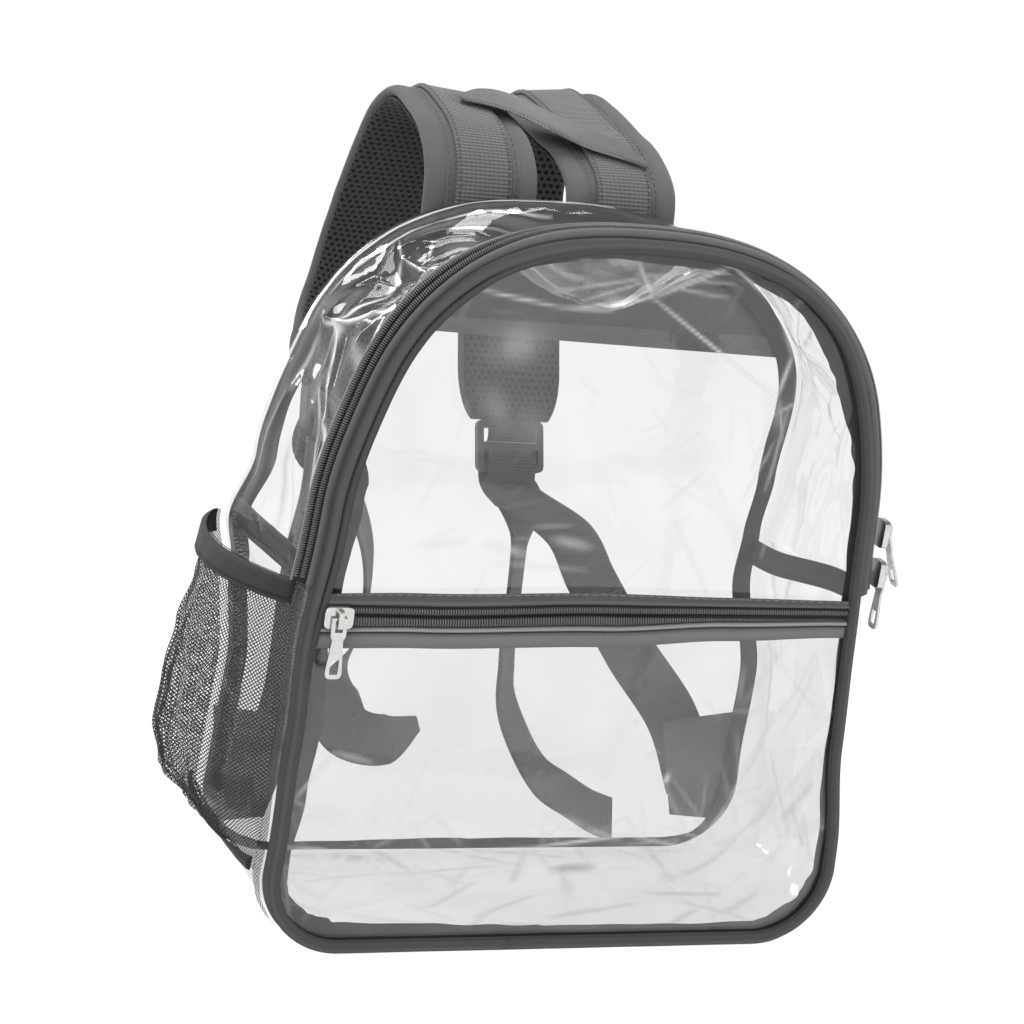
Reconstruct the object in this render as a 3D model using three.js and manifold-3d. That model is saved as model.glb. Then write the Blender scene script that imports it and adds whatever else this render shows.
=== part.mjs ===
import * as THREE from "three";
import { mergeVertices } from "three/addons/utils/BufferGeometryUtils.js";
import Module from "manifold-3d";

// A small clear backpack with fabric trim, standing on its bottom.
// Millimetres, +Z up, +X to the right, the front faces -Y. The origin is the middle of the bottom.

const wasm = await Module();
wasm.setup();

const gap = 0.3;

// The clear shell: one arched outline at the front and one at the back, joined by the gussets.
const bag = {
  height: 305,
  backHeight: 299,
  bottomHalfWidth: 127.5,
  springHalfWidth: 118.8,
  springHeight: 187,
  archPower: 2.46,
  cornerRadius: 34,
  depth: 100,
  sheet: 1,
  zipEndHeight: 158,
  frontBulge: 3,
  topRound: 60,
};

// How far the soft sides stand out of the plain outline, as shares of bottomHalfWidth.
const frontPulls = [
  { height: 0.0, left: -0.014, right: 0.026 },
  { height: 0.15, left: -0.014, right: 0.028 },
  { height: 0.3, left: 0.001, right: -0.004 },
  { height: 0.45, left: 0.023, right: -0.009 },
  { height: 0.6, left: 0.01, right: -0.013 },
  { height: 0.78, left: -0.024, right: -0.034 },
  { height: 1.0, left: 0, right: 0 },
];
const backPulls = [
  { height: 0.0, left: 0, right: 0.032 },
  { height: 0.15, left: 0, right: 0.032 },
  { height: 0.3, left: 0, right: 0.055 },
  { height: 0.45, left: 0.05, right: -0.017 },
  { height: 0.52, left: 0.085, right: 0 },
  { height: 0.61, left: 0.03, right: 0.034 },
  { height: 0.78, left: -0.015, right: 0.09 },
  { height: 1.0, left: 0, right: 0 },
];
// The same just behind the front edge, where the gusset and the zip swell past the binding.
const zipPulls = [
  { height: 0.0, left: 0, right: 0.026 },
  { height: 0.15, left: -0.01, right: 0.06 },
  { height: 0.3, left: 0.005, right: 0.068 },
  { height: 0.45, left: 0.023, right: 0.06 },
  { height: 0.6, left: 0.01, right: 0.047 },
  { height: 0.78, left: -0.024, right: 0.026 },
  { height: 1.0, left: 0, right: 0 },
];
const zipShare = 0.123;

// Dents of the upper gusset: places as shares of its length and depth, sinks as shares of bag.depth.
const gussetDents = [
  { around: 0.2, across: 0.5, sink: 0.06, spanAround: 0.05, spanAcross: 0.4 },
  { around: 0.49, across: 0.5, sink: 0.17, spanAround: 0.12, spanAcross: 0.45 },
  { around: 0.66, across: 0.4, sink: 0.06, spanAround: 0.04, spanAcross: 0.35 },
  { around: 0.73, across: 0.5, sink: 0.12, spanAround: 0.05, spanAcross: 0.35 },
  { around: 0.81, across: 0.6, sink: -0.05, spanAround: 0.04, spanAcross: 0.4 },
];

const binding = { width: 8, face: 2.2, lip: 1.4, lipDepth: 4, lead: 3.3 };

// The flat margin round a panel, behind its binding.
const margin = 15;
const seamTape = { thickness: 1, narrow: 9, ragged: 3, wide: 13 };
const backBinding = { width: 9.5, thickness: 1.8 };
const jointBand = { height: 11, thickness: 1.5 };

const mainZip = { flap: 5.4, flapRise: 3.4, tape: 1.2, coil: 5.7, coilHeight: 2.6, rear: 4 };
const pocket = { top: 141, bulge: 4, sag: 3, zipHeight: 147 };
const pocketZip = { upperTape: 7.5, coil: 7.2, lowerTape: 11, tape: 1.3, coilHeight: 2.2 };

const slider = { length: 12, width: 9, body: 2.6, bridge: 2, foot: 1.4, span: 7.8 };
const pull = {
  length: 25,
  plate: 1,
  eyeWidth: 6.4,
  neckWidth: 4.6,
  endWidth: 7,
  windowWidth: 3.2,
  windowLength: 4.9,
  endWindowWidth: 3.4,
  endWindowLength: 6,
  axisHeight: 3.6,
};
const sliders = { aboveZipEnd: 8, apart: 6 };
const lowerSliderHeight = bag.zipEndHeight + sliders.aboveZipEnd;
const upperSliderHeight = lowerSliderHeight + slider.length + sliders.apart;
const upperPullTilt = 20;
const pocketSliderX = -112;

const yoke = { bottom: 240, drop: 4, thickness: 1.5 };
const strap = { width: 51, thickness: 6, lining: 1.5, liningWidth: 45, webbing: 1.5, stations: 26 };
const webbingWidth = 25;
const handle = { width: 38, thickness: 1.6, left: -46, right: 43, leftFront: 92, rightFront: 64 };
const ladder = { width: 33, length: 24, thickness: 4, bar: 3.5 };
const anchor = { width: 42, height: 56, thickness: 1.8 };
const lowerBand = { thickness: 1.5, stations: 14 };

// Centre lines of the pads: out and up as shares of bag.depth and bag.height, side as a share of
// strap.width, and turn in degrees about the upright axis.
const leftStrapLine = [
  { out: 0.076, up: 0.885, side: -0.67, turn: 0 },
  { out: 0.08, up: 0.945, side: -0.67, turn: 0 },
  { out: 0.12, up: 1.007, side: -0.67, turn: 0 },
  { out: 0.25, up: 1.045, side: -0.67, turn: 0 },
  { out: 0.46, up: 1.075, side: -0.67, turn: 0 },
  { out: 0.69, up: 1.082, side: -0.67, turn: 0 },
  { out: 0.9, up: 1.043, side: -0.67, turn: 0 },
  { out: 1.06, up: 0.975, side: -0.67, turn: 0 },
  { out: 1.21, up: 0.903, side: -0.67, turn: 0 },
  { out: 1.33, up: 0.836, side: -0.68, turn: 4 },
  { out: 1.4, up: 0.767, side: -0.75, turn: 15 },
  { out: 1.4, up: 0.7, side: -0.87, turn: 28 },
  { out: 1.28, up: 0.635, side: -1.0, turn: 38 },
  { out: 1.08, up: 0.58, side: -1.1, turn: 45 },
];
const rightStrapLine = [
  { out: 0.076, up: 0.885, side: 0.61, turn: 0 },
  { out: 0.08, up: 0.94, side: 0.61, turn: 0 },
  { out: 0.12, up: 0.992, side: 0.61, turn: 0 },
  { out: 0.32, up: 1.028, side: 0.61, turn: 0 },
  { out: 0.58, up: 1.049, side: 0.61, turn: 0 },
  { out: 0.86, up: 1.07, side: 0.61, turn: 0 },
  { out: 1.12, up: 1.075, side: 0.61, turn: 0 },
  { out: 1.29, up: 1.043, side: 0.61, turn: 0 },
  { out: 1.35, up: 0.967, side: 0.61, turn: 0 },
  { out: 1.33, up: 0.875, side: 0.61, turn: 0 },
  { out: 1.23, up: 0.78, side: 0.61, turn: 0 },
  { out: 1.1, up: 0.67, side: 0.61, turn: 0 },
  { out: 0.97, up: 0.572, side: 0.61, turn: 0 },
];

// The free tails below the ladder locks, as steps from the lock: side in shares of
// bag.bottomHalfWidth, out in shares of bag.depth and up in shares of bag.height.
const leftTailLine = [
  { side: 0, out: 0, up: 0 },
  { side: 0.075, out: -0.1, up: -0.07 },
  { side: 0.133, out: -0.38, up: -0.151 },
  { side: 0.11, out: -0.55, up: -0.239 },
  { side: 0.016, out: -0.7, up: -0.328 },
  { side: 0.024, out: -0.8, up: -0.384 },
  { side: 0.157, out: -0.83, up: -0.4 },
  { side: 0.298, out: -0.8, up: -0.377 },
];
const rightTailLine = [
  { side: 0, out: 0, up: 0 },
  { side: 0.05, out: -0.09, up: -0.074 },
  { side: 0.047, out: -0.18, up: -0.138 },
  { side: -0.031, out: -0.48, up: -0.289 },
  { side: -0.039, out: -0.57, up: -0.341 },
  { side: 0, out: -0.66, up: -0.393 },
  { side: 0.094, out: -0.71, up: -0.449 },
  { side: 0.196, out: -0.74, up: -0.475 },
  { side: 0.298, out: -0.76, up: -0.499 },
  { side: 0.38, out: -0.77, up: -0.511 },
];

// The lower webbing on its way from the lock to the bag, as steps in the same shares.
const leftLowerLine = [
  { side: -0.06, out: -0.26, up: -0.055 },
  { side: -0.14, out: -0.48, up: -0.14 },
];
const rightLowerLine = [
  { side: 0.18, out: -0.28, up: -0.059 },
  { side: 0.235, out: -0.43, up: -0.111 },
  { side: 0.36, out: -0.65, up: -0.203 },
];

// The net side pocket on the left: how far it stands out, as shares of bulge, up its height.
const net = { bottom: 33, bulge: 38, thickness: 1.2, gathers: 9, gatherDepth: 1.6, columns: 28 };
const netRows = [
  { height: 0, out: 0.05 },
  { height: 0.1, out: 0.45 },
  { height: 0.22, out: 0.8 },
  { height: 0.36, out: 0.93 },
  { height: 0.52, out: 0.9 },
  { height: 0.68, out: 0.76 },
  { height: 0.84, out: 0.6 },
  { height: 1, out: 0.44 },
];
const elastic = { height: 10, thickness: 2.4 };
const hem = { height: 6, thickness: 2.2 };
// The sewn strip at the net's front edge ends at an outline station in the lower corner.
const netStrip = { thickness: 1.2, lowest: 6 };

const frontY = -bag.depth / 2;
const backY = bag.depth / 2;

const colours = {
  pvc: { color: 0xe9ecee, roughness: 0.08, metalness: 0 },
  trim: { color: 0x5c5c5e, roughness: 0.85, metalness: 0 },
  coil: { color: 0x4a4a4c, roughness: 0.45, metalness: 0 },
  nickel: { color: 0xcfcac4, roughness: 0.25, metalness: 1 },
  cloth: { color: 0x68686a, roughness: 0.9, metalness: 0 },
  airMesh: { color: 0x333335, roughness: 0.95, metalness: 0 },
  webbing: { color: 0x606062, roughness: 0.85, metalness: 0 },
  net: { color: 0x3a3a3c, roughness: 0.9, metalness: 0 },
  plastic: { color: 0x2e2e30, roughness: 0.4, metalness: 0 },
};

function lerp(a, b, share) {
  return a + (b - a) * share;
}

function smooth(share) {
  const s = Math.min(1, Math.max(0, share));
  return s * s * (3 - 2 * s);
}

// A value read from a table of rows by its first column, eased from row to row.
function tableValue(rows, column, value, key) {
  const at = rows.findIndex((row) => row[column] >= value);
  if (at <= 0) return rows[at < 0 ? rows.length - 1 : 0][key];
  const low = rows[at - 1];
  const high = rows[at];
  const share = (value - low[column]) / (high[column] - low[column]);
  return lerp(low[key], high[key], smooth(share));
}

// The right half of the plain outline, from the bottom centre up to the top centre.
function halfOutline() {
  const { bottomHalfWidth, springHalfWidth, springHeight, cornerRadius, archPower } = bag;
  const flat = bottomHalfWidth - cornerRadius;
  const points = [];
  for (let i = 0; i < 3; i++) points.push({ x: (flat * i) / 3, z: 0 });
  const cornerSteps = 6;
  for (let i = 0; i <= cornerSteps; i++) {
    const angle = ((Math.PI / 2) * i) / cornerSteps;
    points.push({
      x: flat + cornerRadius * Math.sin(angle),
      z: cornerRadius * (1 - Math.cos(angle)),
    });
  }
  const side = (z) => {
    const share = (z - cornerRadius) / (springHeight - cornerRadius);
    return { x: lerp(bottomHalfWidth, springHalfWidth, share), z };
  };
  const sideSteps = 4;
  for (let i = 1; i <= sideSteps; i++) {
    points.push(side(lerp(cornerRadius, bag.zipEndHeight, i / sideSteps)));
  }
  points.push(side(springHeight));
  const archSteps = 12;
  for (let i = 1; i <= archSteps; i++) {
    const angle = ((Math.PI / 2) * i) / archSteps;
    const across = i === archSteps ? 0 : Math.cos(angle) ** (2 / archPower);
    points.push({
      x: springHalfWidth * across,
      z: lerp(springHeight, bag.height, Math.sin(angle) ** (2 / archPower)),
    });
  }
  return points;
}

const halfPoints = halfOutline();
const topIndex = halfPoints.length - 1;
const stationCount = 2 * topIndex;
const rightJoint = halfPoints.findIndex((p) => Math.abs(p.z - bag.zipEndHeight) < 1e-6);
const leftJoint = stationCount - rightJoint;

// The whole outline, counter-clockwise seen from the front, with the soft pulls of its sides.
function pulledOutline(pulls, height) {
  const points = [];
  for (let i = 0; i < stationCount; i++) {
    const left = i > topIndex;
    const plain = halfPoints[left ? stationCount - i : i];
    const share = plain.z / bag.height;
    const amount = tableValue(pulls, "height", share, left ? "left" : "right");
    const fade = Math.min(1, plain.x / bag.topRound);
    const x = plain.x + amount * bag.bottomHalfWidth * fade;
    points.push({ x: left ? -x : x, z: (plain.z * height) / bag.height });
  }
  return points;
}

const frontOutline = pulledOutline(frontPulls, bag.height);
const zipOutline = pulledOutline(zipPulls, lerp(bag.height, bag.backHeight, zipShare));
const backOutline = pulledOutline(backPulls, bag.backHeight);

const normals = frontOutline.map((point, i) => {
  const before = frontOutline[(i + stationCount - 1) % stationCount];
  const after = frontOutline[(i + 1) % stationCount];
  const length = Math.hypot(after.x - before.x, after.z - before.z);
  return { x: (after.z - before.z) / length, z: -(after.x - before.x) / length };
});

// A point of the bag's skin at a station of the outline, a depth y and an outset.
function skin(station, y, outset) {
  const i = ((station % stationCount) + stationCount) % stationCount;
  const share = (y - frontY) / bag.depth;
  const forward = share < zipShare;
  const [near, far] = forward ? [frontOutline[i], zipOutline[i]] : [zipOutline[i], backOutline[i]];
  const part = forward ? Math.max(0, share / zipShare) : (share - zipShare) / (1 - zipShare);
  return new THREE.Vector3(
    lerp(near.x, far.x, part) + normals[i].x * outset,
    y,
    lerp(near.z, far.z, part) + normals[i].z * outset,
  );
}

// Where the skin crosses a height on one side, as an x value.
function sideX(z, y, side, inset) {
  for (let i = 2; i < topIndex; i++) {
    const low = skin(side > 0 ? i : -i, y, -inset);
    const high = skin(side > 0 ? i + 1 : -i - 1, y, -inset);
    if (low.z <= z && z <= high.z) {
      return lerp(low.x, high.x, (z - low.z) / (high.z - low.z || 1));
    }
  }
  return skin(side > 0 ? topIndex - 1 : 1 - topIndex, y, -inset).x;
}

function geometryFrom(positions, faces) {
  let volume = 0;
  for (let i = 0; i < faces.length; i += 3) {
    const [a, b, c] = [faces[i], faces[i + 1], faces[i + 2]].map((n) => positions[n]);
    volume += a.dot(new THREE.Vector3().crossVectors(b, c));
  }
  const outward = volume > 0 ? faces : faces.slice().reverse();
  const flat = new Float32Array(positions.flatMap((p) => [p.x, p.y, p.z]));
  const geometry = new THREE.BufferGeometry();
  geometry.setAttribute("position", new THREE.BufferAttribute(flat, 3));
  geometry.setIndex(outward);
  geometry.computeVertexNormals();
  return geometry;
}

// A solid through a row of sections with equally many points each. Each square is split along its
// shorter diagonal, so walls that lie side by side bend alike. An open row gets end caps, made of
// strips between the first half of a section's points and the second half.
function loft(sections, ring = false) {
  const count = sections[0].length;
  const rows = sections.length;
  const points = sections.flat();
  const faces = [];
  for (let s = 0; s < (ring ? rows : rows - 1); s++) {
    for (let i = 0; i < count; i++) {
      const a = s * count + i;
      const b = s * count + ((i + 1) % count);
      const c = ((s + 1) % rows) * count + ((i + 1) % count);
      const d = ((s + 1) % rows) * count + i;
      const straight = points[a].distanceTo(points[c]) <= points[b].distanceTo(points[d]);
      faces.push(...(straight ? [a, b, c, a, c, d] : [a, b, d, b, c, d]));
    }
  }
  if (!ring) {
    const last = (rows - 1) * count;
    for (let i = 0; i < count / 2 - 1; i++) {
      const quad = [i, i + 1, count - 2 - i, count - 1 - i];
      faces.push(quad[0], quad[2], quad[1], quad[0], quad[3], quad[2]);
      const [a, b, c, d] = quad.map((n) => n + last);
      faces.push(a, b, c, a, c, d);
    }
  }
  return geometryFrom(points, faces);
}

function mesh(name, geometry, look) {
  const made = new THREE.Mesh(geometry, new THREE.MeshStandardMaterial(colours[look]));
  made.name = name;
  return made;
}

function stationsBetween(first, last) {
  return Array.from({ length: last - first + 1 }, (_, i) => first + i);
}

const allStations = stationsBetween(0, stationCount - 1);
const upperStations = stationsBetween(rightJoint, leftJoint);
const lowerStations = stationsBetween(leftJoint, stationCount + rightJoint);

// A wall that follows the outline between two depths, with its outer face at an outset.
function skinWall(stations, depths, outsetAt, thickness) {
  return loft(
    stations.map((station, n) => {
      const share = n / (stations.length - 1);
      const outer = depths.map((y) => skin(station, y, outsetAt(share, y)));
      const inner = depths.map((y) => skin(station, y, outsetAt(share, y) - thickness));
      return [...outer, ...inner.reverse()];
    }),
  );
}

function evenly(from, to, count) {
  return Array.from({ length: count }, (_, i) => lerp(from, to, i / (count - 1)));
}

const bindingBack = frontY + binding.lipDepth;
const flapFront = bindingBack + gap;
const zipLine = frontY + zipShare * bag.depth;
const coilFront = flapFront + mainZip.flap + gap;
const rearFront = coilFront + mainZip.coil + gap;
const gussetFront = rearFront + mainZip.rear + gap;
const gussetBack = backY - bag.sheet - gap;

function dentAt(share, y) {
  const across = (y - gussetFront - 6) / (gussetBack - gussetFront - 12);
  if (across <= 0 || across >= 1) return 0;
  const edge = Math.sin(Math.PI * across);
  let sum = 0;
  for (const dent of gussetDents) {
    const a = (share - dent.around) / dent.spanAround;
    const c = (across - dent.across) / dent.spanAcross;
    sum -= dent.sink * bag.depth * Math.exp(-a * a - c * c);
  }
  return sum * edge;
}

function upperGusset() {
  const depths = [gussetFront, ...evenly(gussetFront + 6, gussetBack - 6, 6), gussetBack];
  const wall = skinWall(upperStations, depths, dentAt, bag.sheet);
  return mesh("upper_gusset", wall, "pvc");
}

function lowerGusset() {
  const stations = lowerStations;
  const depths = [flapFront, ...evenly(zipLine, gussetBack, 4)];
  const cut = jointGapShare(stations);
  const sections = stations.map((station, n) => {
    const end = n === 0 || n === stations.length - 1;
    const inner = n === 0 ? stations[1] : stations[stations.length - 2];
    const point = (y, outset) => {
      const here = skin(station, y, outset);
      return end ? here.lerp(skin(inner, y, outset), cut) : here;
    };
    const outer = depths.map((y) => point(y, 0));
    const back = depths.map((y) => point(y, -bag.sheet));
    return [...outer, ...back.reverse()];
  });
  return mesh("lower_gusset", loft(sections), "pvc");
}

// The share of the first stretch that keeps the lower gusset a gap below the upper one.
function jointGapShare(stations) {
  const length = skin(stations[0], 0, 0).distanceTo(skin(stations[1], 0, 0));
  return (2 * gap) / length;
}

// The tape ring round the front edge: a flat face in front and a lip over the gusset's edge.
function frontBinding() {
  const faceY = frontY - binding.lead;
  const innerFaceY = faceY + binding.face;
  const profile = [
    { y: faceY, inset: 0.8 },
    { y: faceY + 0.8, inset: 0 },
    { y: bindingBack, inset: 0 },
    { y: bindingBack, inset: binding.lip },
    { y: innerFaceY, inset: binding.lip },
    { y: innerFaceY, inset: binding.width },
    { y: faceY, inset: binding.width },
  ];
  const sections = allStations.map((i) => profile.map((p) => skin(i, p.y, -p.inset)));
  return mesh("front_binding", loft(sections, true), "trim");
}

function flatRing(name, y, thickness, outerInset, innerInsetAt) {
  const sections = allStations.map((i) => {
    const inner = innerInsetAt(i);
    return [
      skin(i, y, -outerInset),
      skin(i, y + thickness, -outerInset),
      skin(i, y + thickness, -inner),
      skin(i, y, -inner),
    ];
  });
  return mesh(name, loft(sections, true), "trim");
}

// The seam allowance inside the front edge, with its ragged inner edge.
function frontSeamTape() {
  const widest = topIndex - 7;
  const y = frontY + bag.sheet + 2 * gap;
  return flatRing("front_seam_tape", y, seamTape.thickness, binding.lip + gap, (i) => {
    const wave = Math.sin(i * 1.9) * Math.sin(i * 0.7 + 1);
    const swell = Math.exp(-(((i - widest) / 4) ** 2));
    return lerp(seamTape.narrow, seamTape.wide, swell) + seamTape.ragged * wave;
  });
}

function backSeamBinding() {
  const y = backY - bag.sheet - 2 * gap - backBinding.thickness;
  const outer = bag.sheet + gap;
  return flatRing("back_binding", y, backBinding.thickness, outer, () => backBinding.width);
}

// A sheet across the bag between two heights. dome(x, z) is how far it stands to the front.
function crossSheet(name, look, options) {
  const { low, high, face, thickness, inset, dome, columns, lowDrop } = options;
  const heights = new Set([low, high]);
  for (let i = 2; i < topIndex; i++) {
    const z = skin(i, face, -inset).z;
    if (z > low + 1 && z < high - 1) heights.add(z);
  }
  const rows = [...heights].sort((a, b) => a - b);
  const sections = rows.map((z) => {
    const left = sideX(z, face, -1, inset);
    const right = sideX(z, face, 1, inset);
    const inside = Math.min(margin, (right - left) / 8);
    const xs = [left, ...evenly(left + inside, right - inside, columns - 2), right];
    const height = (x) => (z === low ? z - (lowDrop * (x - left)) / (right - left) : z);
    const front = xs.map((x) => new THREE.Vector3(x, face - dome(x, z), height(x)));
    const back = xs.map((x) => new THREE.Vector3(x, face - dome(x, z) + thickness, height(x)));
    return [...front, ...back.reverse()];
  });
  return mesh(name, loft(sections), look);
}

// How far a sheet swells between two heights: none at its margins, 1 in the middle.
function swell(x, z, low, high) {
  const across = x / (bag.springHalfWidth - margin);
  const up = (z - low) / (high - low);
  if (Math.abs(across) >= 1 || up <= 0 || up >= 1) return 0;
  return (1 - across ** 2) * Math.sin(Math.PI * up);
}

function frontDome(x, z) {
  if (z < pocket.zipHeight) return -pocket.sag * swell(x, z, margin, pocket.zipHeight);
  return bag.frontBulge * swell(x, z, pocket.zipHeight, bag.height - margin);
}

function pocketDome(x, z) {
  return pocket.bulge * swell(x, z, margin, pocket.zipHeight + margin);
}

const edgeInset = binding.lip + gap;
const pocketFace = frontY - bag.sheet - gap + 0.5;

function frontPanel() {
  return crossSheet("front_panel", "pvc", {
    low: edgeInset + gap,
    high: bag.height - edgeInset - gap,
    face: frontY + 0.5,
    thickness: bag.sheet,
    inset: edgeInset,
    dome: frontDome,
    columns: 7,
    lowDrop: 0,
  });
}

function pocketPanel() {
  return crossSheet("pocket_panel", "pvc", {
    low: edgeInset + gap,
    high: pocket.top,
    face: pocketFace,
    thickness: bag.sheet,
    inset: edgeInset,
    dome: pocketDome,
    columns: 7,
    lowDrop: 0,
  });
}

function backPanel() {
  return crossSheet("back_panel", "pvc", {
    low: gap,
    high: yoke.bottom + 6,
    face: backY - bag.sheet,
    thickness: bag.sheet,
    inset: 0,
    dome: () => 0,
    columns: 5,
    lowDrop: 0,
  });
}

const yokeFront = backY + gap;
const yokeBack = yokeFront + yoke.thickness;

function backYoke() {
  return crossSheet("back_yoke", "cloth", {
    low: yoke.bottom,
    high: bag.backHeight - gap,
    face: yokeFront,
    thickness: yoke.thickness,
    inset: 0,
    dome: () => 0,
    columns: 5,
    lowDrop: yoke.drop,
  });
}

// The bound seam that joins the upper gusset to the lower one, inside, front to back.
function gussetJoint(name, side) {
  const low = bag.zipEndHeight - jointBand.height / 2;
  const high = bag.zipEndHeight + jointBand.height / 2;
  const outer = bag.sheet + 2 * gap;
  const inner = outer + jointBand.thickness;
  const front = bindingBack + gap;
  const back = backY - bag.sheet - 3 * gap - backBinding.thickness;
  const sections = [front, ...evenly(zipLine, back, 4)].map((y) => [
    new THREE.Vector3(sideX(low, y, side, outer), y, low),
    new THREE.Vector3(sideX(high, y, side, outer), y, high),
    new THREE.Vector3(sideX(high, y, side, inner), y, high),
    new THREE.Vector3(sideX(low, y, side, inner), y, low),
  ]);
  return mesh(name, loft(sections), "trim");
}

// The zip round the arch: a flap that rises from the binding, the coil, and the tape behind it.
function mainZipPiece(name, look, profile) {
  const sections = upperStations.map((i) => profile.map((p) => skin(i, p.y, p.out)));
  return mesh(name, loft(sections), look);
}

function mainZipPieces() {
  const { flap, flapRise, tape, coil, coilHeight, rear } = mainZip;
  const coilFoot = flapRise - tape;
  return [
    mainZipPiece("main_zip_flap", "trim", [
      { y: flapFront, out: 0.2 },
      { y: flapFront + flap, out: flapRise },
      { y: flapFront + flap, out: flapRise - tape },
      { y: flapFront, out: 0.2 - tape },
    ]),
    mainZipPiece("main_zip_coil", "coil", [
      { y: coilFront, out: coilFoot },
      { y: coilFront, out: coilFoot + 0.6 * coilHeight },
      { y: coilFront + 0.3 * coil, out: coilFoot + coilHeight },
      { y: coilFront + 0.7 * coil, out: coilFoot + coilHeight },
      { y: coilFront + coil, out: coilFoot + 0.6 * coilHeight },
      { y: coilFront + coil, out: coilFoot },
    ]),
    mainZipPiece("main_zip_rear_tape", "trim", [
      { y: rearFront, out: coilFoot + tape },
      { y: rearFront + rear, out: 0.4 },
      { y: rearFront + rear, out: 0.4 - tape },
      { y: rearFront, out: coilFoot },
    ]),
  ];
}

// A straight band across the pocket between two heights, with an optional rounded face.
function pocketBand(name, look, low, high, back, thickness) {
  const reach = binding.width + 2 * gap;
  const middle = (low + high) / 2;
  const left = sideX(middle, frontY, -1, reach);
  const right = sideX(middle, frontY, 1, reach);
  const sections = evenly(left, right, 9).map((x) => {
    const y = back - pocketDome(x, Math.min(low, pocket.top));
    return [
      new THREE.Vector3(x, y, low),
      new THREE.Vector3(x, y - thickness, low + 0.6),
      new THREE.Vector3(x, y - thickness, high - 0.6),
      new THREE.Vector3(x, y, high),
    ];
  });
  return mesh(name, loft(sections), look);
}

const pocketZipBack = pocketFace - gap;

function pocketZipPieces() {
  const { upperTape, coil, lowerTape, tape, coilHeight } = pocketZip;
  const coilLow = pocket.zipHeight - coil / 2;
  const coilHigh = pocket.zipHeight + coil / 2;
  const lowerHigh = coilLow - gap;
  const upperLow = coilHigh + gap;
  return [
    pocketBand("pocket_zip_lower_tape", "trim", lowerHigh - lowerTape, lowerHigh, pocketZipBack, tape),
    pocketBand("pocket_zip_coil", "coil", coilLow, coilHigh, pocketZipBack, coilHeight),
    pocketBand("pocket_zip_upper_tape", "trim", upperLow, upperLow + upperTape, pocketZipBack, tape),
  ];
}

function solidFrom(geometry) {
  const plain = geometry.clone();
  plain.deleteAttribute("normal");
  plain.deleteAttribute("uv");
  const merged = mergeVertices(plain, 1e-4);
  return new wasm.Manifold(
    new wasm.Mesh({
      numProp: 3,
      vertProperties: merged.attributes.position.array,
      triVerts: new Uint32Array(merged.index.array),
    }),
  );
}

function geometryOf(solid) {
  const data = solid.getMesh();
  const geometry = new THREE.BufferGeometry();
  const positions = new Float32Array(data.vertProperties);
  geometry.setAttribute("position", new THREE.BufferAttribute(positions, 3));
  geometry.setIndex(new THREE.BufferAttribute(new Uint32Array(data.triVerts), 1));
  geometry.computeVertexNormals();
  return geometry;
}

function roundedShape(width, height, corner) {
  const w = width / 2;
  const h = height / 2;
  const shape = new THREE.Shape();
  shape.moveTo(-w + corner, -h);
  shape.lineTo(w - corner, -h);
  shape.quadraticCurveTo(w, -h, w, -h + corner);
  shape.lineTo(w, h - corner);
  shape.quadraticCurveTo(w, h, w - corner, h);
  shape.lineTo(-w + corner, h);
  shape.quadraticCurveTo(-w, h, -w, h - corner);
  shape.lineTo(-w, -h + corner);
  shape.quadraticCurveTo(-w, -h, -w + corner, -h);
  return shape;
}

function rectangleHole(width, low, high) {
  const hole = new THREE.Path();
  hole.moveTo(-width / 2, low);
  hole.lineTo(width / 2, low);
  hole.lineTo(width / 2, high);
  hole.lineTo(-width / 2, high);
  hole.closePath();
  return hole;
}

const eyeClearance = 0.6;
const bridgeUnder = pull.axisHeight + pull.plate / 2 + eyeClearance;
const bridgeTop = bridgeUnder + 1.1;

// A slider in its own frame: x across the hinge, y up, z out of the zip.
function sliderGeometry(width, height) {
  const body = new THREE.ExtrudeGeometry(roundedShape(width, height, 2.4), {
    depth: slider.body,
    bevelEnabled: false,
    curveSegments: 3,
  });
  const half = slider.span / 2;
  const inner = half - slider.foot;
  const low = slider.body - 0.3;
  const arch = new THREE.Shape();
  arch.moveTo(-half, low);
  arch.lineTo(-half, bridgeTop - 1.2);
  arch.quadraticCurveTo(-half, bridgeTop, -half + 1.2, bridgeTop);
  arch.lineTo(half - 1.2, bridgeTop);
  arch.quadraticCurveTo(half, bridgeTop, half, bridgeTop - 1.2);
  arch.lineTo(half, low);
  arch.lineTo(inner, low);
  arch.lineTo(inner, bridgeUnder);
  arch.lineTo(-inner, bridgeUnder);
  arch.lineTo(-inner, low);
  arch.closePath();
  const bridge = new THREE.ExtrudeGeometry(arch, {
    depth: slider.bridge,
    bevelEnabled: false,
    curveSegments: 3,
  });
  // The arch is drawn in (y, z) and pulled out along x.
  bridge.applyMatrix4(
    new THREE.Matrix4().makeBasis(
      new THREE.Vector3(0, 1, 0),
      new THREE.Vector3(0, 0, 1),
      new THREE.Vector3(1, 0, 0),
    ),
  );
  bridge.translate(-slider.bridge / 2, 0, 0);
  return geometryOf(solidFrom(body).add(solidFrom(bridge)));
}

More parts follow.
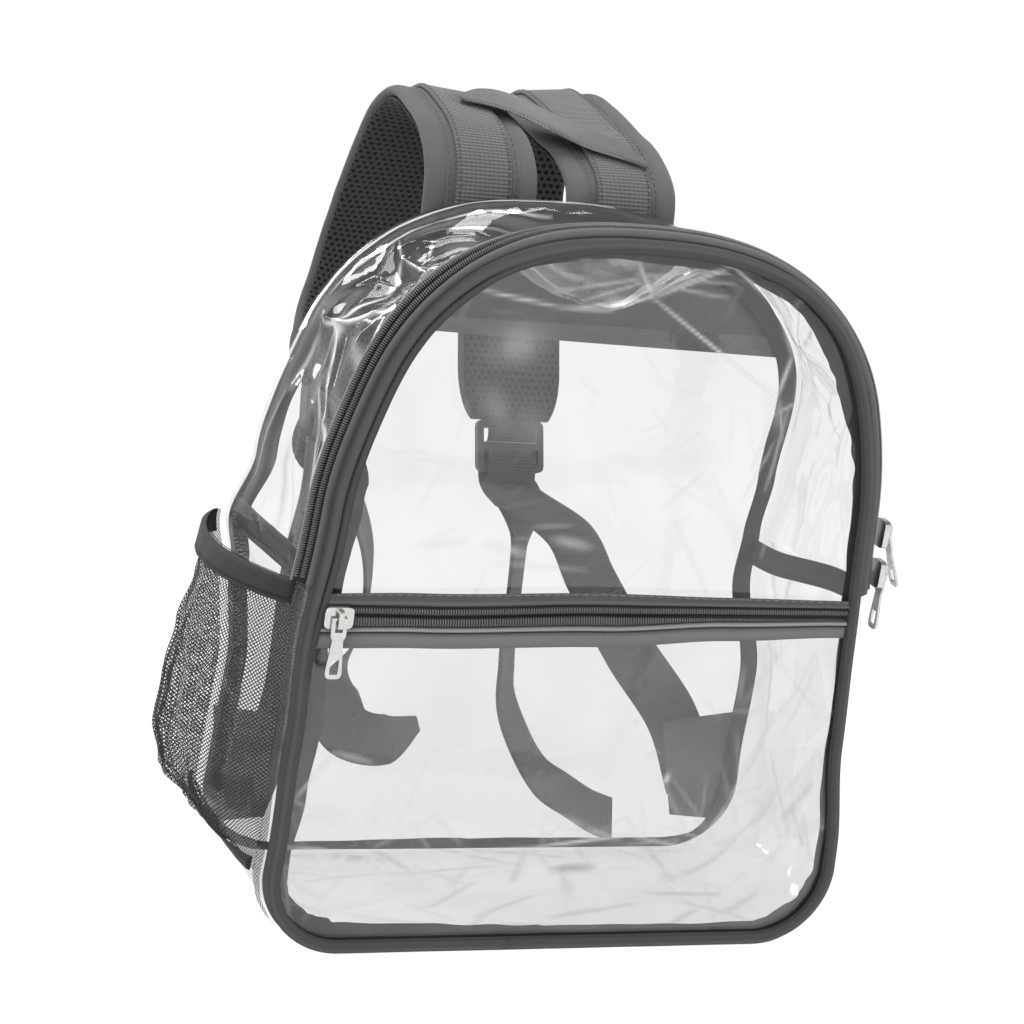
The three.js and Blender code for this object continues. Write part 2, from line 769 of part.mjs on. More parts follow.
// A pull in the same frame, hanging from its own top strip at the hinge axis.
function pullGeometry() {
  const strip = pull.plate / 2;
  const eye = pull.eyeWidth / 2;
  const neck = pull.neckWidth / 2;
  const end = pull.endWidth / 2;
  const eyeBottom = -strip - pull.windowLength - 1.6;
  const shape = new THREE.Shape();
  shape.moveTo(-eye, strip);
  shape.lineTo(-eye, eyeBottom);
  shape.lineTo(-neck, eyeBottom - 2);
  shape.lineTo(-end, -pull.length + 3);
  shape.quadraticCurveTo(-end, -pull.length, -end + 2, -pull.length);
  shape.lineTo(end - 2, -pull.length);
  shape.quadraticCurveTo(end, -pull.length, end, -pull.length + 3);
  shape.lineTo(neck, eyeBottom - 2);
  shape.lineTo(eye, eyeBottom);
  shape.lineTo(eye, strip);
  shape.closePath();
  const endWindowLow = -pull.length + 2;
  shape.holes.push(rectangleHole(pull.windowWidth, -strip - pull.windowLength, -strip));
  shape.holes.push(
    rectangleHole(pull.endWindowWidth, endWindowLow, endWindowLow + pull.endWindowLength),
  );
  const plate = new THREE.ExtrudeGeometry(shape, {
    depth: pull.plate,
    bevelEnabled: false,
    curveSegments: 3,
  });
  plate.translate(0, 0, -pull.plate / 2);
  return plate;
}

// A slider with its pull, turned so that "out" points away from the bag.
function sliderSet(prefix, width, height, position, turn, tilt) {
  const group = new THREE.Group();
  const body = mesh(prefix + "_slider", sliderGeometry(width, height), "nickel");
  const hanging = mesh(prefix + "_pull", pullGeometry(), "nickel");
  hanging.position.z = pull.axisHeight;
  hanging.rotation.x = -THREE.MathUtils.degToRad(tilt);
  group.add(body, hanging);
  group.position.copy(position);
  group.rotation.set(...turn);
  return group;
}

const facesFront = [Math.PI / 2, 0, 0];
const facesRight = [Math.PI / 2, Math.PI / 2, 0];

function pocketSliderSet() {
  const y = pocketZipBack - pocketZip.coilHeight - gap;
  const dome = pocketDome(pocketSliderX, pocket.top);
  const position = new THREE.Vector3(pocketSliderX, y - dome, pocket.zipHeight);
  return sliderSet("pocket", slider.length, slider.width, position, facesFront, 0);
}

function mainSliderSet(prefix, height, tilt) {
  const outset = mainZip.flapRise - mainZip.tape + mainZip.coilHeight;
  const y = coilFront + mainZip.coil / 2;
  const reach = slider.length / 2;
  const xs = [-reach, 0, reach].map((dz) => sideX(height + dz, y, 1, -outset));
  const position = new THREE.Vector3(Math.max(...xs) + gap, y, height);
  return sliderSet(prefix, slider.width, slider.length, position, facesRight, tilt);
}

// The centre line of a strap from its table, as points in the bag's frame.
function strapPoints(rows) {
  return rows.map(
    (row) =>
      new THREE.Vector3(
        row.side * strap.width,
        backY + row.out * bag.depth,
        row.up * bag.height,
      ),
  );
}

// Stations along a curve: where it is, which way it runs, its flat and its face directions.
function ribbon(points, count, flatAt) {
  const curve = new THREE.CatmullRomCurve3(points, false, "centripetal");
  return evenly(0, 1, count).map((t) => {
    const centre = curve.getPointAt(t);
    const along = curve.getTangentAt(t);
    const face = new THREE.Vector3().crossVectors(flatAt(t), along).normalize();
    const flat = new THREE.Vector3().crossVectors(along, face).normalize();
    return { centre, along, flat, face };
  });
}

function ribbonPoint(station, side, out) {
  return station.centre
    .clone()
    .addScaledVector(station.flat, side)
    .addScaledVector(station.face, out);
}

// A band on a ribbon: profile points are (side, out), first half then second half.
function ribbonSolid(stations, profile) {
  return loft(stations.map((s) => profile.map(([side, out]) => ribbonPoint(s, side, out))));
}

function flatProfile(width, inner, outer) {
  const w = width / 2;
  return [
    [-w, outer],
    [0, outer],
    [w, outer],
    [w, inner],
    [0, inner],
    [-w, inner],
  ];
}

const alongX = new THREE.Vector3(1, 0, 0);

function strapRibbon(rows) {
  const turnAt = (t) => {
    const place = t * (rows.length - 1);
    const low = rows[Math.floor(place)];
    const high = rows[Math.min(rows.length - 1, Math.floor(place) + 1)];
    return THREE.MathUtils.degToRad(lerp(low.turn, high.turn, place % 1));
  };
  const flatAt = (t) => new THREE.Vector3(Math.cos(turnAt(t)), Math.sin(turnAt(t)), 0);
  return ribbon(strapPoints(rows), strap.stations, flatAt);
}

const leftRibbon = strapRibbon(leftStrapLine);
const rightRibbon = strapRibbon(rightStrapLine);

// The padded strap: the pad, the air mesh on its inside and the webbing sewn down its outside.
function strapPieces(side, stations) {
  const half = strap.thickness / 2;
  const w = strap.width / 2;
  const pad = [
    [-w, 0.25 * half],
    [-w + 3, half],
    [0, half],
    [w - 3, half],
    [w, 0.25 * half],
    [w, -0.25 * half],
    [w - 3, -half],
    [0, -half],
    [-w + 3, -half],
    [-w, -0.25 * half],
  ];
  const lining = flatProfile(strap.liningWidth, -half - gap - strap.lining, -half - gap);
  const web = flatProfile(webbingWidth, half + 2 * gap, half + 2 * gap + strap.webbing);
  const liningStations = stations.slice(liningStart);
  return [
    mesh("strap_pad_" + side, ribbonSolid(stations, pad), "cloth"),
    mesh("strap_lining_" + side, ribbonSolid(liningStations, lining), "airMesh"),
    mesh("strap_webbing_" + side, ribbonSolid(stations, web), "webbing"),
  ];
}

// The lining starts where the strap has left the yoke.
const liningStart = 3;

// The height of a strap's outer face above the pad's centre line, read at a depth y.
function strapTop(stations, y) {
  const out = strap.thickness / 2 + 2 * gap + strap.webbing;
  const line = stations.map((s) => ribbonPoint(s, 0, out));
  const crest = line.reduce((best, p, i) => (p.z > line[best].z ? i : best), 0);
  for (let i = 1; i < line.length; i++) {
    if (line[i - 1].y <= y && y <= line[i].y) {
      return lerp(line[i - 1].z, line[i].z, (y - line[i - 1].y) / (line[i].y - line[i - 1].y));
    }
  }
  return line[crest].z;
}

// The haul handle lies across both straps, flat, and is sewn down at its two ends.
function haulHandle() {
  const sections = evenly(handle.left, handle.right, 9).map((x) => {
    const across = (x - handle.left) / (handle.right - handle.left);
    const front = lerp(handle.leftFront, handle.rightFront, across);
    const depths = evenly(front, front + handle.width, 5);
    const share = smooth((x - handle.left - 20) / (handle.right - handle.left - 40));
    const height = (y) =>
      lerp(strapTop(leftRibbon, y), strapTop(rightRibbon, y), share) + 5 * gap;
    const low = depths.map((y) => new THREE.Vector3(x, y, height(y)));
    const high = depths.map((y) => new THREE.Vector3(x, y, height(y) + handle.thickness));
    return [...high, ...low.reverse()];
  });
  return mesh("haul_handle", loft(sections), "webbing");
}

// A ladder lock below the pad, a plate with two slots, in line with the pad's end.
function ladderPlace(stations) {
  const end = stations[stations.length - 1];
  const centre = end.centre.clone().addScaledVector(end.along, ladder.length / 2 + gap);
  return { centre, along: end.along, flat: end.flat, face: end.face };
}

function ladderLock(side, place) {
  const { width, length, thickness, bar } = ladder;
  const shape = roundedShape(width, length, 3);
  const slot = (length - 3 * bar) / 2;
  shape.holes.push(rectangleHole(webbingWidth + 2, -length / 2 + bar, -length / 2 + bar + slot));
  shape.holes.push(rectangleHole(webbingWidth + 2, bar / 2, bar / 2 + slot));
  const geometry = new THREE.ExtrudeGeometry(shape, {
    depth: thickness,
    bevelEnabled: false,
    curveSegments: 3,
  });
  geometry.translate(0, 0, -thickness / 2);
  const lock = mesh("ladder_lock_" + side, geometry, "plastic");
  const up = place.along.clone().negate();
  lock.applyMatrix4(
    new THREE.Matrix4().makeBasis(up.clone().cross(place.face).normalize(), up, place.face),
  );
  lock.position.copy(place.centre);
  return lock;
}

// The triangular tab in the lower corner of the back, where the lower webbing is sewn in.
function anchorTab(side, sign) {
  const y = backY + gap;
  const low = 12;
  const edge = (z) => sideX(z, backY, sign, 0.5);
  const shape = [
    { x: edge(low + 14) - sign * 8, z: low + 2 },
    { x: edge(low + anchor.height), z: low + anchor.height },
    { x: edge(low + anchor.height) - sign * anchor.width, z: low + anchor.height - 6 },
    { x: edge(low + 14) - sign * (anchor.width - 12), z: low + 4 },
  ];
  const front = shape.map((p) => new THREE.Vector3(p.x, y, p.z));
  const back = shape.map((p) => new THREE.Vector3(p.x, y + anchor.thickness, p.z));
  return mesh("anchor_tab_" + side, loft([front, back]), "cloth");
}

// Points at the steps of a table from a starting point.
function stepsFrom(start, rows) {
  return rows.map(
    (row) =>
      new THREE.Vector3(
        start.x + row.side * bag.bottomHalfWidth,
        start.y + row.out * bag.depth,
        start.z + row.up * bag.height,
      ),
  );
}

function lowerProfile() {
  const t = lowerBand.thickness / 2;
  return flatProfile(webbingWidth, -t, t);
}

// The lower webbing runs from the ladder lock to the anchor tab and turns flat on the way.
function lowerWebbing(side, sign, rows, place) {
  const tabX = sideX(anchor.height, backY, sign, 0) - sign * 21;
  const face = backY + 3 * gap + anchor.thickness + lowerBand.thickness / 2;
  const start = place.centre
    .clone()
    .addScaledVector(place.along, ladder.length / 2 + gap + 2 * lowerBand.thickness);
  const below = start.clone().addScaledVector(place.along, ladder.thickness);
  const end = new THREE.Vector3(tabX, face, 30);
  const sewn = new THREE.Vector3(tabX - sign * 14, face + 3, 62);
  const run = end.clone().sub(sewn).normalize();
  const flatEnd = new THREE.Vector3().crossVectors(run, new THREE.Vector3(0, -1, 0));
  if (flatEnd.x < 0) flatEnd.negate();
  const points = [start, below, ...stepsFrom(start, rows), sewn, end];
  const stations = ribbon(points, lowerBand.stations, (t) =>
    place.flat.clone().lerp(flatEnd, smooth(t / 0.7)),
  );
  return mesh("lower_webbing_" + side, ribbonSolid(stations, lowerProfile()), "webbing");
}

// The free end of the webbing, which hangs from the outer face of the ladder lock.
function webbingTail(side, rows, place, flatEnd) {
  const start = place.centre
    .clone()
    .addScaledVector(place.face, ladder.thickness / 2 + lowerBand.thickness / 2 + 2 * gap);
  const below = start
    .clone()
    .addScaledVector(place.along, ladder.length / 2 + 2)
    .addScaledVector(place.face, 4);
  const points = [start, below, ...stepsFrom(start, rows.slice(1))];
  const stations = ribbon(points, lowerBand.stations + 6, (t) => {
    const hanging = place.flat.clone().lerp(alongX, smooth(t / 0.3));
    return hanging.lerp(flatEnd, smooth((t - 0.6) / 0.3));
  });
  return mesh("webbing_tail_" + side, ribbonSolid(stations, lowerProfile()), "webbing");
}

// Where the net stands at a height and a depth share, as an x value, before its own thickness.
const netTop = bag.zipEndHeight - gap;
const netFront = (flapFront + zipLine) / 2;
const netBack = backY - 2;

function netX(z, share, extra) {
  const y = lerp(netFront, netBack, share);
  const up = (z - net.bottom) / (netTop - net.bottom);
  const out = tableValue(netRows, "height", Math.min(1, Math.max(0, up)), "out");
  const bow = Math.sin(Math.PI * share) ** 0.7;
  const gathers = net.gatherDepth * Math.sin(2 * Math.PI * net.gathers * share);
  const stand = net.bulge * out * bow + gathers * bow * 0.8;
  const floor = netStrip.thickness + 2 * gap;
  return sideX(z, y, -1, 0) - Math.max(0, stand) - floor - extra;
}

function netBand(name, look, heights, inner, outer) {
  const shares = evenly(0, 1, net.columns);
  const sections = heights.map((z) => {
    const point = (share, extra) =>
      new THREE.Vector3(netX(z, share, extra), lerp(netFront, netBack, share), z);
    return [
      ...shares.map((share) => point(share, outer)),
      ...shares.map((share) => point(share, inner)).reverse(),
    ];
  });
  return mesh(name, loft(sections), look);
}

function sidePocket() {
  const skinOut = net.thickness + 3 * gap;
  const hemTop = net.bottom + hem.height;
  const elasticBottom = netTop - elastic.height;
  const front = bindingBack + gap;
  const back = zipLine;
  const strip = stationsBetween(leftJoint, stationCount - netStrip.lowest).map((i) => [
    skin(i, front, gap + netStrip.thickness),
    skin(i, back, gap + netStrip.thickness),
    skin(i, back, gap),
    skin(i, front, gap),
  ]);
  return [
    netBand(
      "side_pocket_net",
      "net",
      [net.bottom, ...evenly(hemTop, elasticBottom, 7), netTop],
      0,
      net.thickness,
    ),
    netBand(
      "side_pocket_elastic",
      "trim",
      [elasticBottom, netTop],
      skinOut,
      skinOut + elastic.thickness,
    ),
    netBand(
      "side_pocket_hem",
      "trim",
      [net.bottom, hemTop],
      skinOut,
      skinOut + hem.thickness,
    ),
    mesh("side_pocket_strip", loft(strip), "net"),
  ];
}

const leftLadder = ladderPlace(leftRibbon);
const rightLadder = ladderPlace(rightRibbon);

const backpack = new THREE.Group();
backpack.add(frontPanel(), pocketPanel(), backPanel(), upperGusset(), lowerGusset());
backpack.add(frontBinding(), frontSeamTape(), backSeamBinding());
backpack.add(gussetJoint("gusset_joint_left", -1), gussetJoint("gusset_joint_right", 1));
backpack.add(...mainZipPieces(), ...pocketZipPieces());
backpack.add(pocketSliderSet());
backpack.add(mainSliderSet("upper", upperSliderHeight, upperPullTilt));
backpack.add(mainSliderSet("lower", lowerSliderHeight, 0));
backpack.add(backYoke());
backpack.add(...strapPieces("left", leftRibbon), ...strapPieces("right", rightRibbon));
backpack.add(haulHandle());
backpack.add(ladderLock("left", leftLadder), ladderLock("right", rightLadder));
backpack.add(anchorTab("left", -1), anchorTab("right", 1));
backpack.add(lowerWebbing("left", -1, leftLowerLine, leftLadder));
backpack.add(lowerWebbing("right", 1, rightLowerLine, rightLadder));
backpack.add(webbingTail("left", leftTailLine, leftLadder, alongX));
backpack.add(webbingTail("right", rightTailLine, rightLadder, new THREE.Vector3(0, 1, 0)));
backpack.add(...sidePocket());

export default backpack;
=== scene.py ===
import math

import bpy
import numpy as np
from mathutils import Matrix, Vector


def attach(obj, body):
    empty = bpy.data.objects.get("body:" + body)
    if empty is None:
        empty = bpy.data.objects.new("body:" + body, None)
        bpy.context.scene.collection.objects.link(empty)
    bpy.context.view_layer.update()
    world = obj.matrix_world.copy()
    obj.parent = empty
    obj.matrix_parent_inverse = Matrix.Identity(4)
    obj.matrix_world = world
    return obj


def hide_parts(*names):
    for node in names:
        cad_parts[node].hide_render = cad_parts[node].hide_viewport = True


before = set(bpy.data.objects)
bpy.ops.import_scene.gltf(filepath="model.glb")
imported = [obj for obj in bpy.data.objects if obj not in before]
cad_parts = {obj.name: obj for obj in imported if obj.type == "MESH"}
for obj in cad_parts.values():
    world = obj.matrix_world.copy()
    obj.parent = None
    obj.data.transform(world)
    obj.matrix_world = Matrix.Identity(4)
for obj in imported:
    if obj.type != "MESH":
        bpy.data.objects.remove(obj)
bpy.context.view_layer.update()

BODY = "bag"
GAP = 0.3

# The shell, in millimetres, as the solids have it.
HEIGHT = 305
BACK_HEIGHT = 299
BOTTOM_HALF = 127.5
SPRING_HALF = 118.8
SPRING_HEIGHT = 187
ARCH_POWER = 2.46
CORNER = 34
DEPTH = 100
ZIP_END = 158
FRONT_Y = -50
BACK_Y = 50
TOP_ROUND = 60
MARGIN = 15
ZIP_SHARE = 0.123
TOP_STATION = 26
STATIONS = 52
RIGHT_JOINT = 13
LEFT_JOINT = 39
BINDING_BACK = FRONT_Y + 4
FLAP_FRONT = BINDING_BACK + GAP
COIL_FRONT = FLAP_FRONT + 5.4 + GAP
REAR_FRONT = COIL_FRONT + 5.7 + GAP
GUSSET_FRONT = REAR_FRONT + 4 + GAP
GUSSET_BACK = BACK_Y - 1 - GAP
POCKET_ZIP = 147
STRAP_WIDTH = 51
STRAP_THICK = 6
WEBBING = 25
WEBBING_THICK = 1.5
LADDER_LENGTH = 24
LADDER_THICK = 4

# How far the soft sides stand out, as shares of BOTTOM_HALF: height share, left, right.
FRONT_PULLS = [
    (0.0, -0.014, 0.026),
    (0.15, -0.014, 0.028),
    (0.3, 0.001, -0.004),
    (0.45, 0.023, -0.009),
    (0.6, 0.01, -0.013),
    (0.78, -0.024, -0.034),
    (1.0, 0, 0),
]
ZIP_PULLS = [
    (0.0, 0, 0.026),
    (0.15, -0.01, 0.06),
    (0.3, 0.005, 0.068),
    (0.45, 0.023, 0.06),
    (0.6, 0.01, 0.047),
    (0.78, -0.024, 0.026),
    (1.0, 0, 0),
]
BACK_PULLS = [
    (0.0, 0, 0.032),
    (0.15, 0, 0.032),
    (0.3, 0, 0.055),
    (0.45, 0.05, -0.017),
    (0.52, 0.085, 0),
    (0.61, 0.03, 0.034),
    (0.78, -0.015, 0.09),
    (1.0, 0, 0),
]

# Dents of the upper gusset: share around, share across, sink in millimetres, and the two spans.
GUSSET_DENTS = [
    (0.2, 0.5, 6, 0.05, 0.4),
    (0.49, 0.42, 37, 0.11, 0.5),
    (0.66, 0.4, 6, 0.04, 0.35),
    (0.73, 0.5, 12, 0.05, 0.35),
    (0.81, 0.6, -5, 0.04, 0.4),
]

# Strap centre lines: out, up, side and turn, in shares of depth, height and strap width.
LEFT_STRAP = [
    (0.076, 0.885, -0.67, 0),
    (0.08, 0.945, -0.67, 0),
    (0.12, 1.007, -0.67, 0),
    (0.25, 1.045, -0.67, 0),
    (0.46, 1.064, -0.67, 0),
    (0.69, 1.07, -0.67, 0),
    (0.9, 1.036, -0.67, 0),
    (1.06, 0.975, -0.67, 0),
    (1.21, 0.903, -0.67, 0),
    (1.33, 0.836, -0.68, 4),
    (1.4, 0.767, -0.75, 15),
    (1.4, 0.7, -0.87, 28),
    (1.28, 0.635, -1.0, 38),
    (1.08, 0.58, -1.1, 45),
]
RIGHT_STRAP = [
    (0.076, 0.885, 0.61, 0),
    (0.08, 0.94, 0.61, 0),
    (0.12, 0.992, 0.61, 0),
    (0.32, 1.028, 0.61, 0),
    (0.58, 1.042, 0.61, 0),
    (0.86, 1.056, 0.61, 0),
    (1.12, 1.06, 0.61, 0),
    (1.29, 1.033, 0.61, 0),
    (1.35, 0.967, 0.61, 0),
    (1.33, 0.875, 0.61, 0),
    (1.23, 0.78, 0.61, 0),
    (1.1, 0.67, 0.61, 0),
    (0.97, 0.572, 0.61, 0),
]

# Steps from the ladder lock: side, out and up in shares of BOTTOM_HALF, DEPTH and HEIGHT.
LEFT_TAIL = [
    (0.075, -0.1, -0.07),
    (0.133, -0.38, -0.151),
    (0.11, -0.55, -0.239),
    (0.016, -0.7, -0.328),
    (0.024, -0.8, -0.384),
    (0.157, -0.83, -0.4),
    (0.298, -0.8, -0.377),
]
RIGHT_TAIL = [
    (0.05, -0.09, -0.074),
    (0.047, -0.18, -0.138),
    (-0.031, -0.48, -0.289),
    (-0.039, -0.57, -0.341),
    (0, -0.66, -0.393),
    (0.094, -0.71, -0.449),
    (0.196, -0.74, -0.475),
    (0.298, -0.76, -0.499),
    (0.38, -0.77, -0.511),
]
LEFT_LOWER = [(-0.06, -0.26, -0.055), (-0.14, -0.48, -0.14)]
RIGHT_LOWER = [(0.18, -0.28, -0.059), (0.235, -0.43, -0.111), (0.36, -0.65, -0.203)]

# The net pocket.
NET_BOTTOM = 33
NET_TOP = ZIP_END - GAP
NET_FRONT = (FLAP_FRONT + FRONT_Y + ZIP_SHARE * DEPTH) / 2
NET_BACK = BACK_Y - 2
NET_BULGE = 38
NET_GATHERS = 9
NET_ROWS = [
    (0, 0.05),
    (0.1, 0.45),
    (0.22, 0.8),
    (0.36, 0.93),
    (0.52, 0.9),
    (0.68, 0.76),
    (0.84, 0.6),
    (1, 0.44),
]
NET_COLUMNS = 220

# The photograph's camera: its place in metres, its directions and its lens in millimetres.
CAMERA_PLACE = (-0.4863, -1.0975, 0.5192)
CAMERA_RIGHT = (0.927, -0.346, 0.146)
CAMERA_FORWARD = (0.374, 0.885, -0.277)
CAMERA_LENS = 104.41
FLOOR_DROP = 0.2

# Millimetres that one station counts as, for folds and for painted light streaks of the upper gusset.
FOLD_STATION = 11.0
STREAK_STATION = 21.0

FORWARD = (0.0, -1.0, 0.0)
TOOTH_SIDES = 5
POCKET_SHEET_TOP = 141
POCKET_ZIP_BACK = 134.0
BINDING_LAP = 51.45


def lerp(a, b, share):
    return a + (b - a) * share


def smooth(share):
    s = np.clip(share, 0, 1)
    return s * s * (3 - 2 * s)


def eased(rows, column, value):
    """A column of a table at a value of its first column, eased from row to row."""
    keys = np.array([row[0] for row in rows], float)
    values = np.array([row[column] for row in rows], float)
    value = np.clip(value, keys[0], keys[-1])
    high = np.clip(np.searchsorted(keys, value), 1, len(keys) - 1)
    share = (value - keys[high - 1]) / (keys[high] - keys[high - 1])
    return lerp(values[high - 1], values[high], smooth(share))


def ridge(value, place, width):
    """A rounded bump of height 1 at a place."""
    return np.exp(-(((value - place) / width) ** 2))


def soft_edge(value, low, high, radius):
    """0 at both ends of a range, rounding up to 1 within a radius of each."""
    return np.minimum(1, np.minimum(value - low, high - value) / radius) ** 0.5


def from_line(a, b, start, end):
    """The share along the line from start to end, and the distance from it."""
    start = np.asarray(start, float)
    run = np.asarray(end, float) - start
    share = np.clip(((a - start[0]) * run[0] + (b - start[1]) * run[1]) / (run @ run), 0, 1)
    away = np.hypot(a - start[0] - share * run[0], b - start[1] - share * run[1])
    return share, away


def half_outline(s):
    """The plain outline's right half at a station from 0, bottom centre, to 26, top centre."""
    flat = BOTTOM_HALF - CORNER
    corner = (np.clip(s, 3, 9) - 3) / 6 * math.pi / 2
    x = np.where(s < 3, flat * s / 3, flat + CORNER * np.sin(corner))
    z = np.where(s < 3, 0, CORNER * (1 - np.cos(corner)))
    side_z = np.where(
        s < 13,
        lerp(CORNER, ZIP_END, (s - 9) / 4),
        lerp(ZIP_END, SPRING_HEIGHT, s - 13),
    )
    side_x = lerp(BOTTOM_HALF, SPRING_HALF, (side_z - CORNER) / (SPRING_HEIGHT - CORNER))
    x = np.where(s > 9, side_x, x)
    z = np.where(s > 9, side_z, z)
    arch = (np.clip(s, 14, 26) - 14) / 12 * math.pi / 2
    power = 2 / ARCH_POWER
    arch_x = SPRING_HALF * np.abs(np.cos(arch)) ** power
    arch_z = lerp(SPRING_HEIGHT, HEIGHT, np.sin(arch) ** power)
    return np.where(s > 14, arch_x, x), np.where(s > 14, arch_z, z)


def pulled(s, rows, height):
    s = np.mod(s, STATIONS)
    left = s > TOP_STATION
    x, z = half_outline(np.where(left, STATIONS - s, s))
    share = z / HEIGHT
    amount = np.where(left, eased(rows, 1, share), eased(rows, 2, share))
    x = x + amount * BOTTOM_HALF * np.minimum(1, x / TOP_ROUND)
    return np.where(left, -x, x), z * height / HEIGHT


def skin(s, y, outset=0.0):
    """A point of the bag's skin at a station of the outline, a depth and an outset."""
    s, y, outset = np.broadcast_arrays(np.asarray(s, float), y, outset)
    share = (y - FRONT_Y) / DEPTH
    zip_height = lerp(HEIGHT, BACK_HEIGHT, ZIP_SHARE)
    near, line, far = (
        pulled(s, FRONT_PULLS, HEIGHT),
        pulled(s, ZIP_PULLS, zip_height),
        pulled(s, BACK_PULLS, BACK_HEIGHT),
    )
    first = np.clip(share / ZIP_SHARE, 0, 1)
    second = np.clip((share - ZIP_SHARE) / (1 - ZIP_SHARE), 0, None)
    forward = share < ZIP_SHARE
    x = np.where(forward, lerp(near[0], line[0], first), lerp(line[0], far[0], second))
    z = np.where(forward, lerp(near[1], line[1], first), lerp(line[1], far[1], second))
    after = pulled(s + 0.6, FRONT_PULLS, HEIGHT)
    before = pulled(s - 0.6, FRONT_PULLS, HEIGHT)
    dx, dz = after[0] - before[0], after[1] - before[1]
    length = np.hypot(dx, dz)
    return np.stack([x + dz / length * outset, y, z - dx / length * outset], -1)


SIDE_STATIONS = np.linspace(2, 25.99, 500)


def side_x(z, y, side, inset=0.0):
    """Where the skin crosses a height on one side."""
    points = skin(SIDE_STATIONS * (1 if side > 0 else -1), y, -inset)
    return np.interp(z, points[:, 2], points[:, 0])


def across_outline(z, y, inset, columns):
    """Rows of x from the outline's left to its right at some heights."""
    left = side_x(z, y, -1, inset)
    right = side_x(z, y, 1, inset)
    share = np.linspace(0, 1, columns)
    return left[:, None] + (right - left)[:, None] * share[None, :]


def swell(x, z, low, high):
    across = x / (SPRING_HALF - MARGIN)
    up = np.clip((z - low) / (high - low), 0, 1)
    return np.clip(1 - across**2, 0, None) * np.sin(math.pi * up)


def front_dome(x, z):
    below = -3 * swell(x, z, MARGIN, POCKET_ZIP)
    return np.where(z < POCKET_ZIP, below, 3 * swell(x, z, POCKET_ZIP, HEIGHT - MARGIN))


def pocket_dome(x, z):
    return 4 * swell(x, z, MARGIN, POCKET_ZIP + MARGIN)


def waves(a, b, seed, count, wavelength):
    """Smooth uneven waves over a plane, between -1 and 1, the same on each run."""
    random = np.random.default_rng(seed)
    total = np.zeros(np.broadcast(a, b).shape)
    for _ in range(count):
        angle = random.uniform(0, 2 * math.pi)
        scale = 2 * math.pi / (wavelength * random.uniform(0.7, 1.5))
        phase = random.uniform(0, 2 * math.pi)
        total = total + np.sin((a * math.cos(angle) + b * math.sin(angle)) * scale + phase)
    return total / count


def facets(a, b, seed, spacing, low, high):
    """Crumpled sheet: a height that bends sharply along the edges of uneven cells."""
    random = np.random.default_rng(seed)
    columns = int((high[0] - low[0]) / spacing) + 2
    rows = int((high[1] - low[1]) / spacing) + 2
    grid_a, grid_b = np.meshgrid(np.arange(columns), np.arange(rows), indexing="ij")
    jitter = random.uniform(-0.45, 0.45, (2,) + grid_a.shape)
    seeds_a = low[0] + (grid_a + jitter[0]) * spacing
    seeds_b = low[1] + (grid_b + jitter[1]) * spacing
    nearest = np.full(np.broadcast(a, b).shape, 1e9)
    for pa, pb in zip(seeds_a.ravel(), seeds_b.ravel()):
        nearest = np.minimum(nearest, (a - pa) ** 2 + (b - pb) ** 2)
    return nearest / spacing**2


def left_spread(s):
    """How far the zip rolls to the front: none on the right and all the way down the left."""
    return smooth((np.asarray(s, float) - 27.5) / 4.5)


def unit(v):
    return v / np.linalg.norm(v, axis=-1, keepdims=True)


def run_along(path):
    """The running length at each point of a path."""
    return np.concatenate([[0], np.cumsum(np.linalg.norm(np.diff(path, axis=0), axis=1))])


def place_at(at, run, rows):
    """Rows of points or directions read at running lengths."""
    return np.stack([np.interp(at, run, rows[:, k]) for k in range(3)], -1)


# Meshes.


def mesh_object(name, points, faces, loop_uv=None):
    data = bpy.data.meshes.new(name)
    data.from_pydata((np.asarray(points) * 0.001).tolist(), [], faces)
    if loop_uv is not None:
        layer = data.uv_layers.new(name="weave")
        layer.data.foreach_set("uv", np.asarray(loop_uv, np.float32).ravel())
    data.shade_smooth()
    made = bpy.data.objects.new(name, data)
    bpy.context.scene.collection.objects.link(made)
    return made


def lengths(points, axis):
    """Running lengths along one axis of a grid of points, averaged over the other."""
    steps = np.linalg.norm(np.diff(points, axis=axis), axis=-1)
    mean = steps.mean(axis=1 - axis)
    return np.concatenate([[0], np.cumsum(mean)])


def grid(name, points, ring_u=False, ring_v=False, caps=False):
    """A grid of points as a mesh whose UVs are real lengths in metres."""
    count_u, count_v = points.shape[:2]
    index = np.arange(count_u * count_v).reshape(count_u, count_v)
    whole = points
    if ring_u:
        index = np.vstack([index, index[:1]])
        whole = np.concatenate([whole, whole[:1]], 0)
    if ring_v:
        index = np.hstack([index, index[:, :1]])
        whole = np.concatenate([whole, whole[:, :1]], 1)
    corners = [index[:-1, :-1], index[1:, :-1], index[1:, 1:], index[:-1, 1:]]
    faces = np.stack(corners, -1).reshape(-1, 4)
    along = lengths(whole, 0) * 0.001
    across = lengths(whole, 1) * 0.001
    u, v = np.meshgrid(along, across, indexing="ij")
    pairs = np.stack([u, v], -1)
    corners = [pairs[:-1, :-1], pairs[1:, :-1], pairs[1:, 1:], pairs[:-1, 1:]]
    loop_uv = np.stack(corners, 2).reshape(-1, 2)
    faces = faces.tolist()
    if caps:
        first = index[0][:count_v].tolist()
        last = index[-1][:count_v].tolist()
        faces += [first[::-1], last]
        cap_uv = [pairs[0][:count_v][::-1], pairs[-1][:count_v]]
        loop_uv = np.concatenate([loop_uv, *cap_uv])
    return mesh_object(name, points.reshape(-1, 3), faces, loop_uv)


def sharpen(obj, angle=50):
    obj.data.set_sharp_from_angle(angle=math.radians(angle))
    return obj


def add(obj, material, nodes=(), body=BODY):
    obj.data.materials.append(material)
    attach(obj, body)
    if nodes:
        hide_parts(*nodes)
    return obj


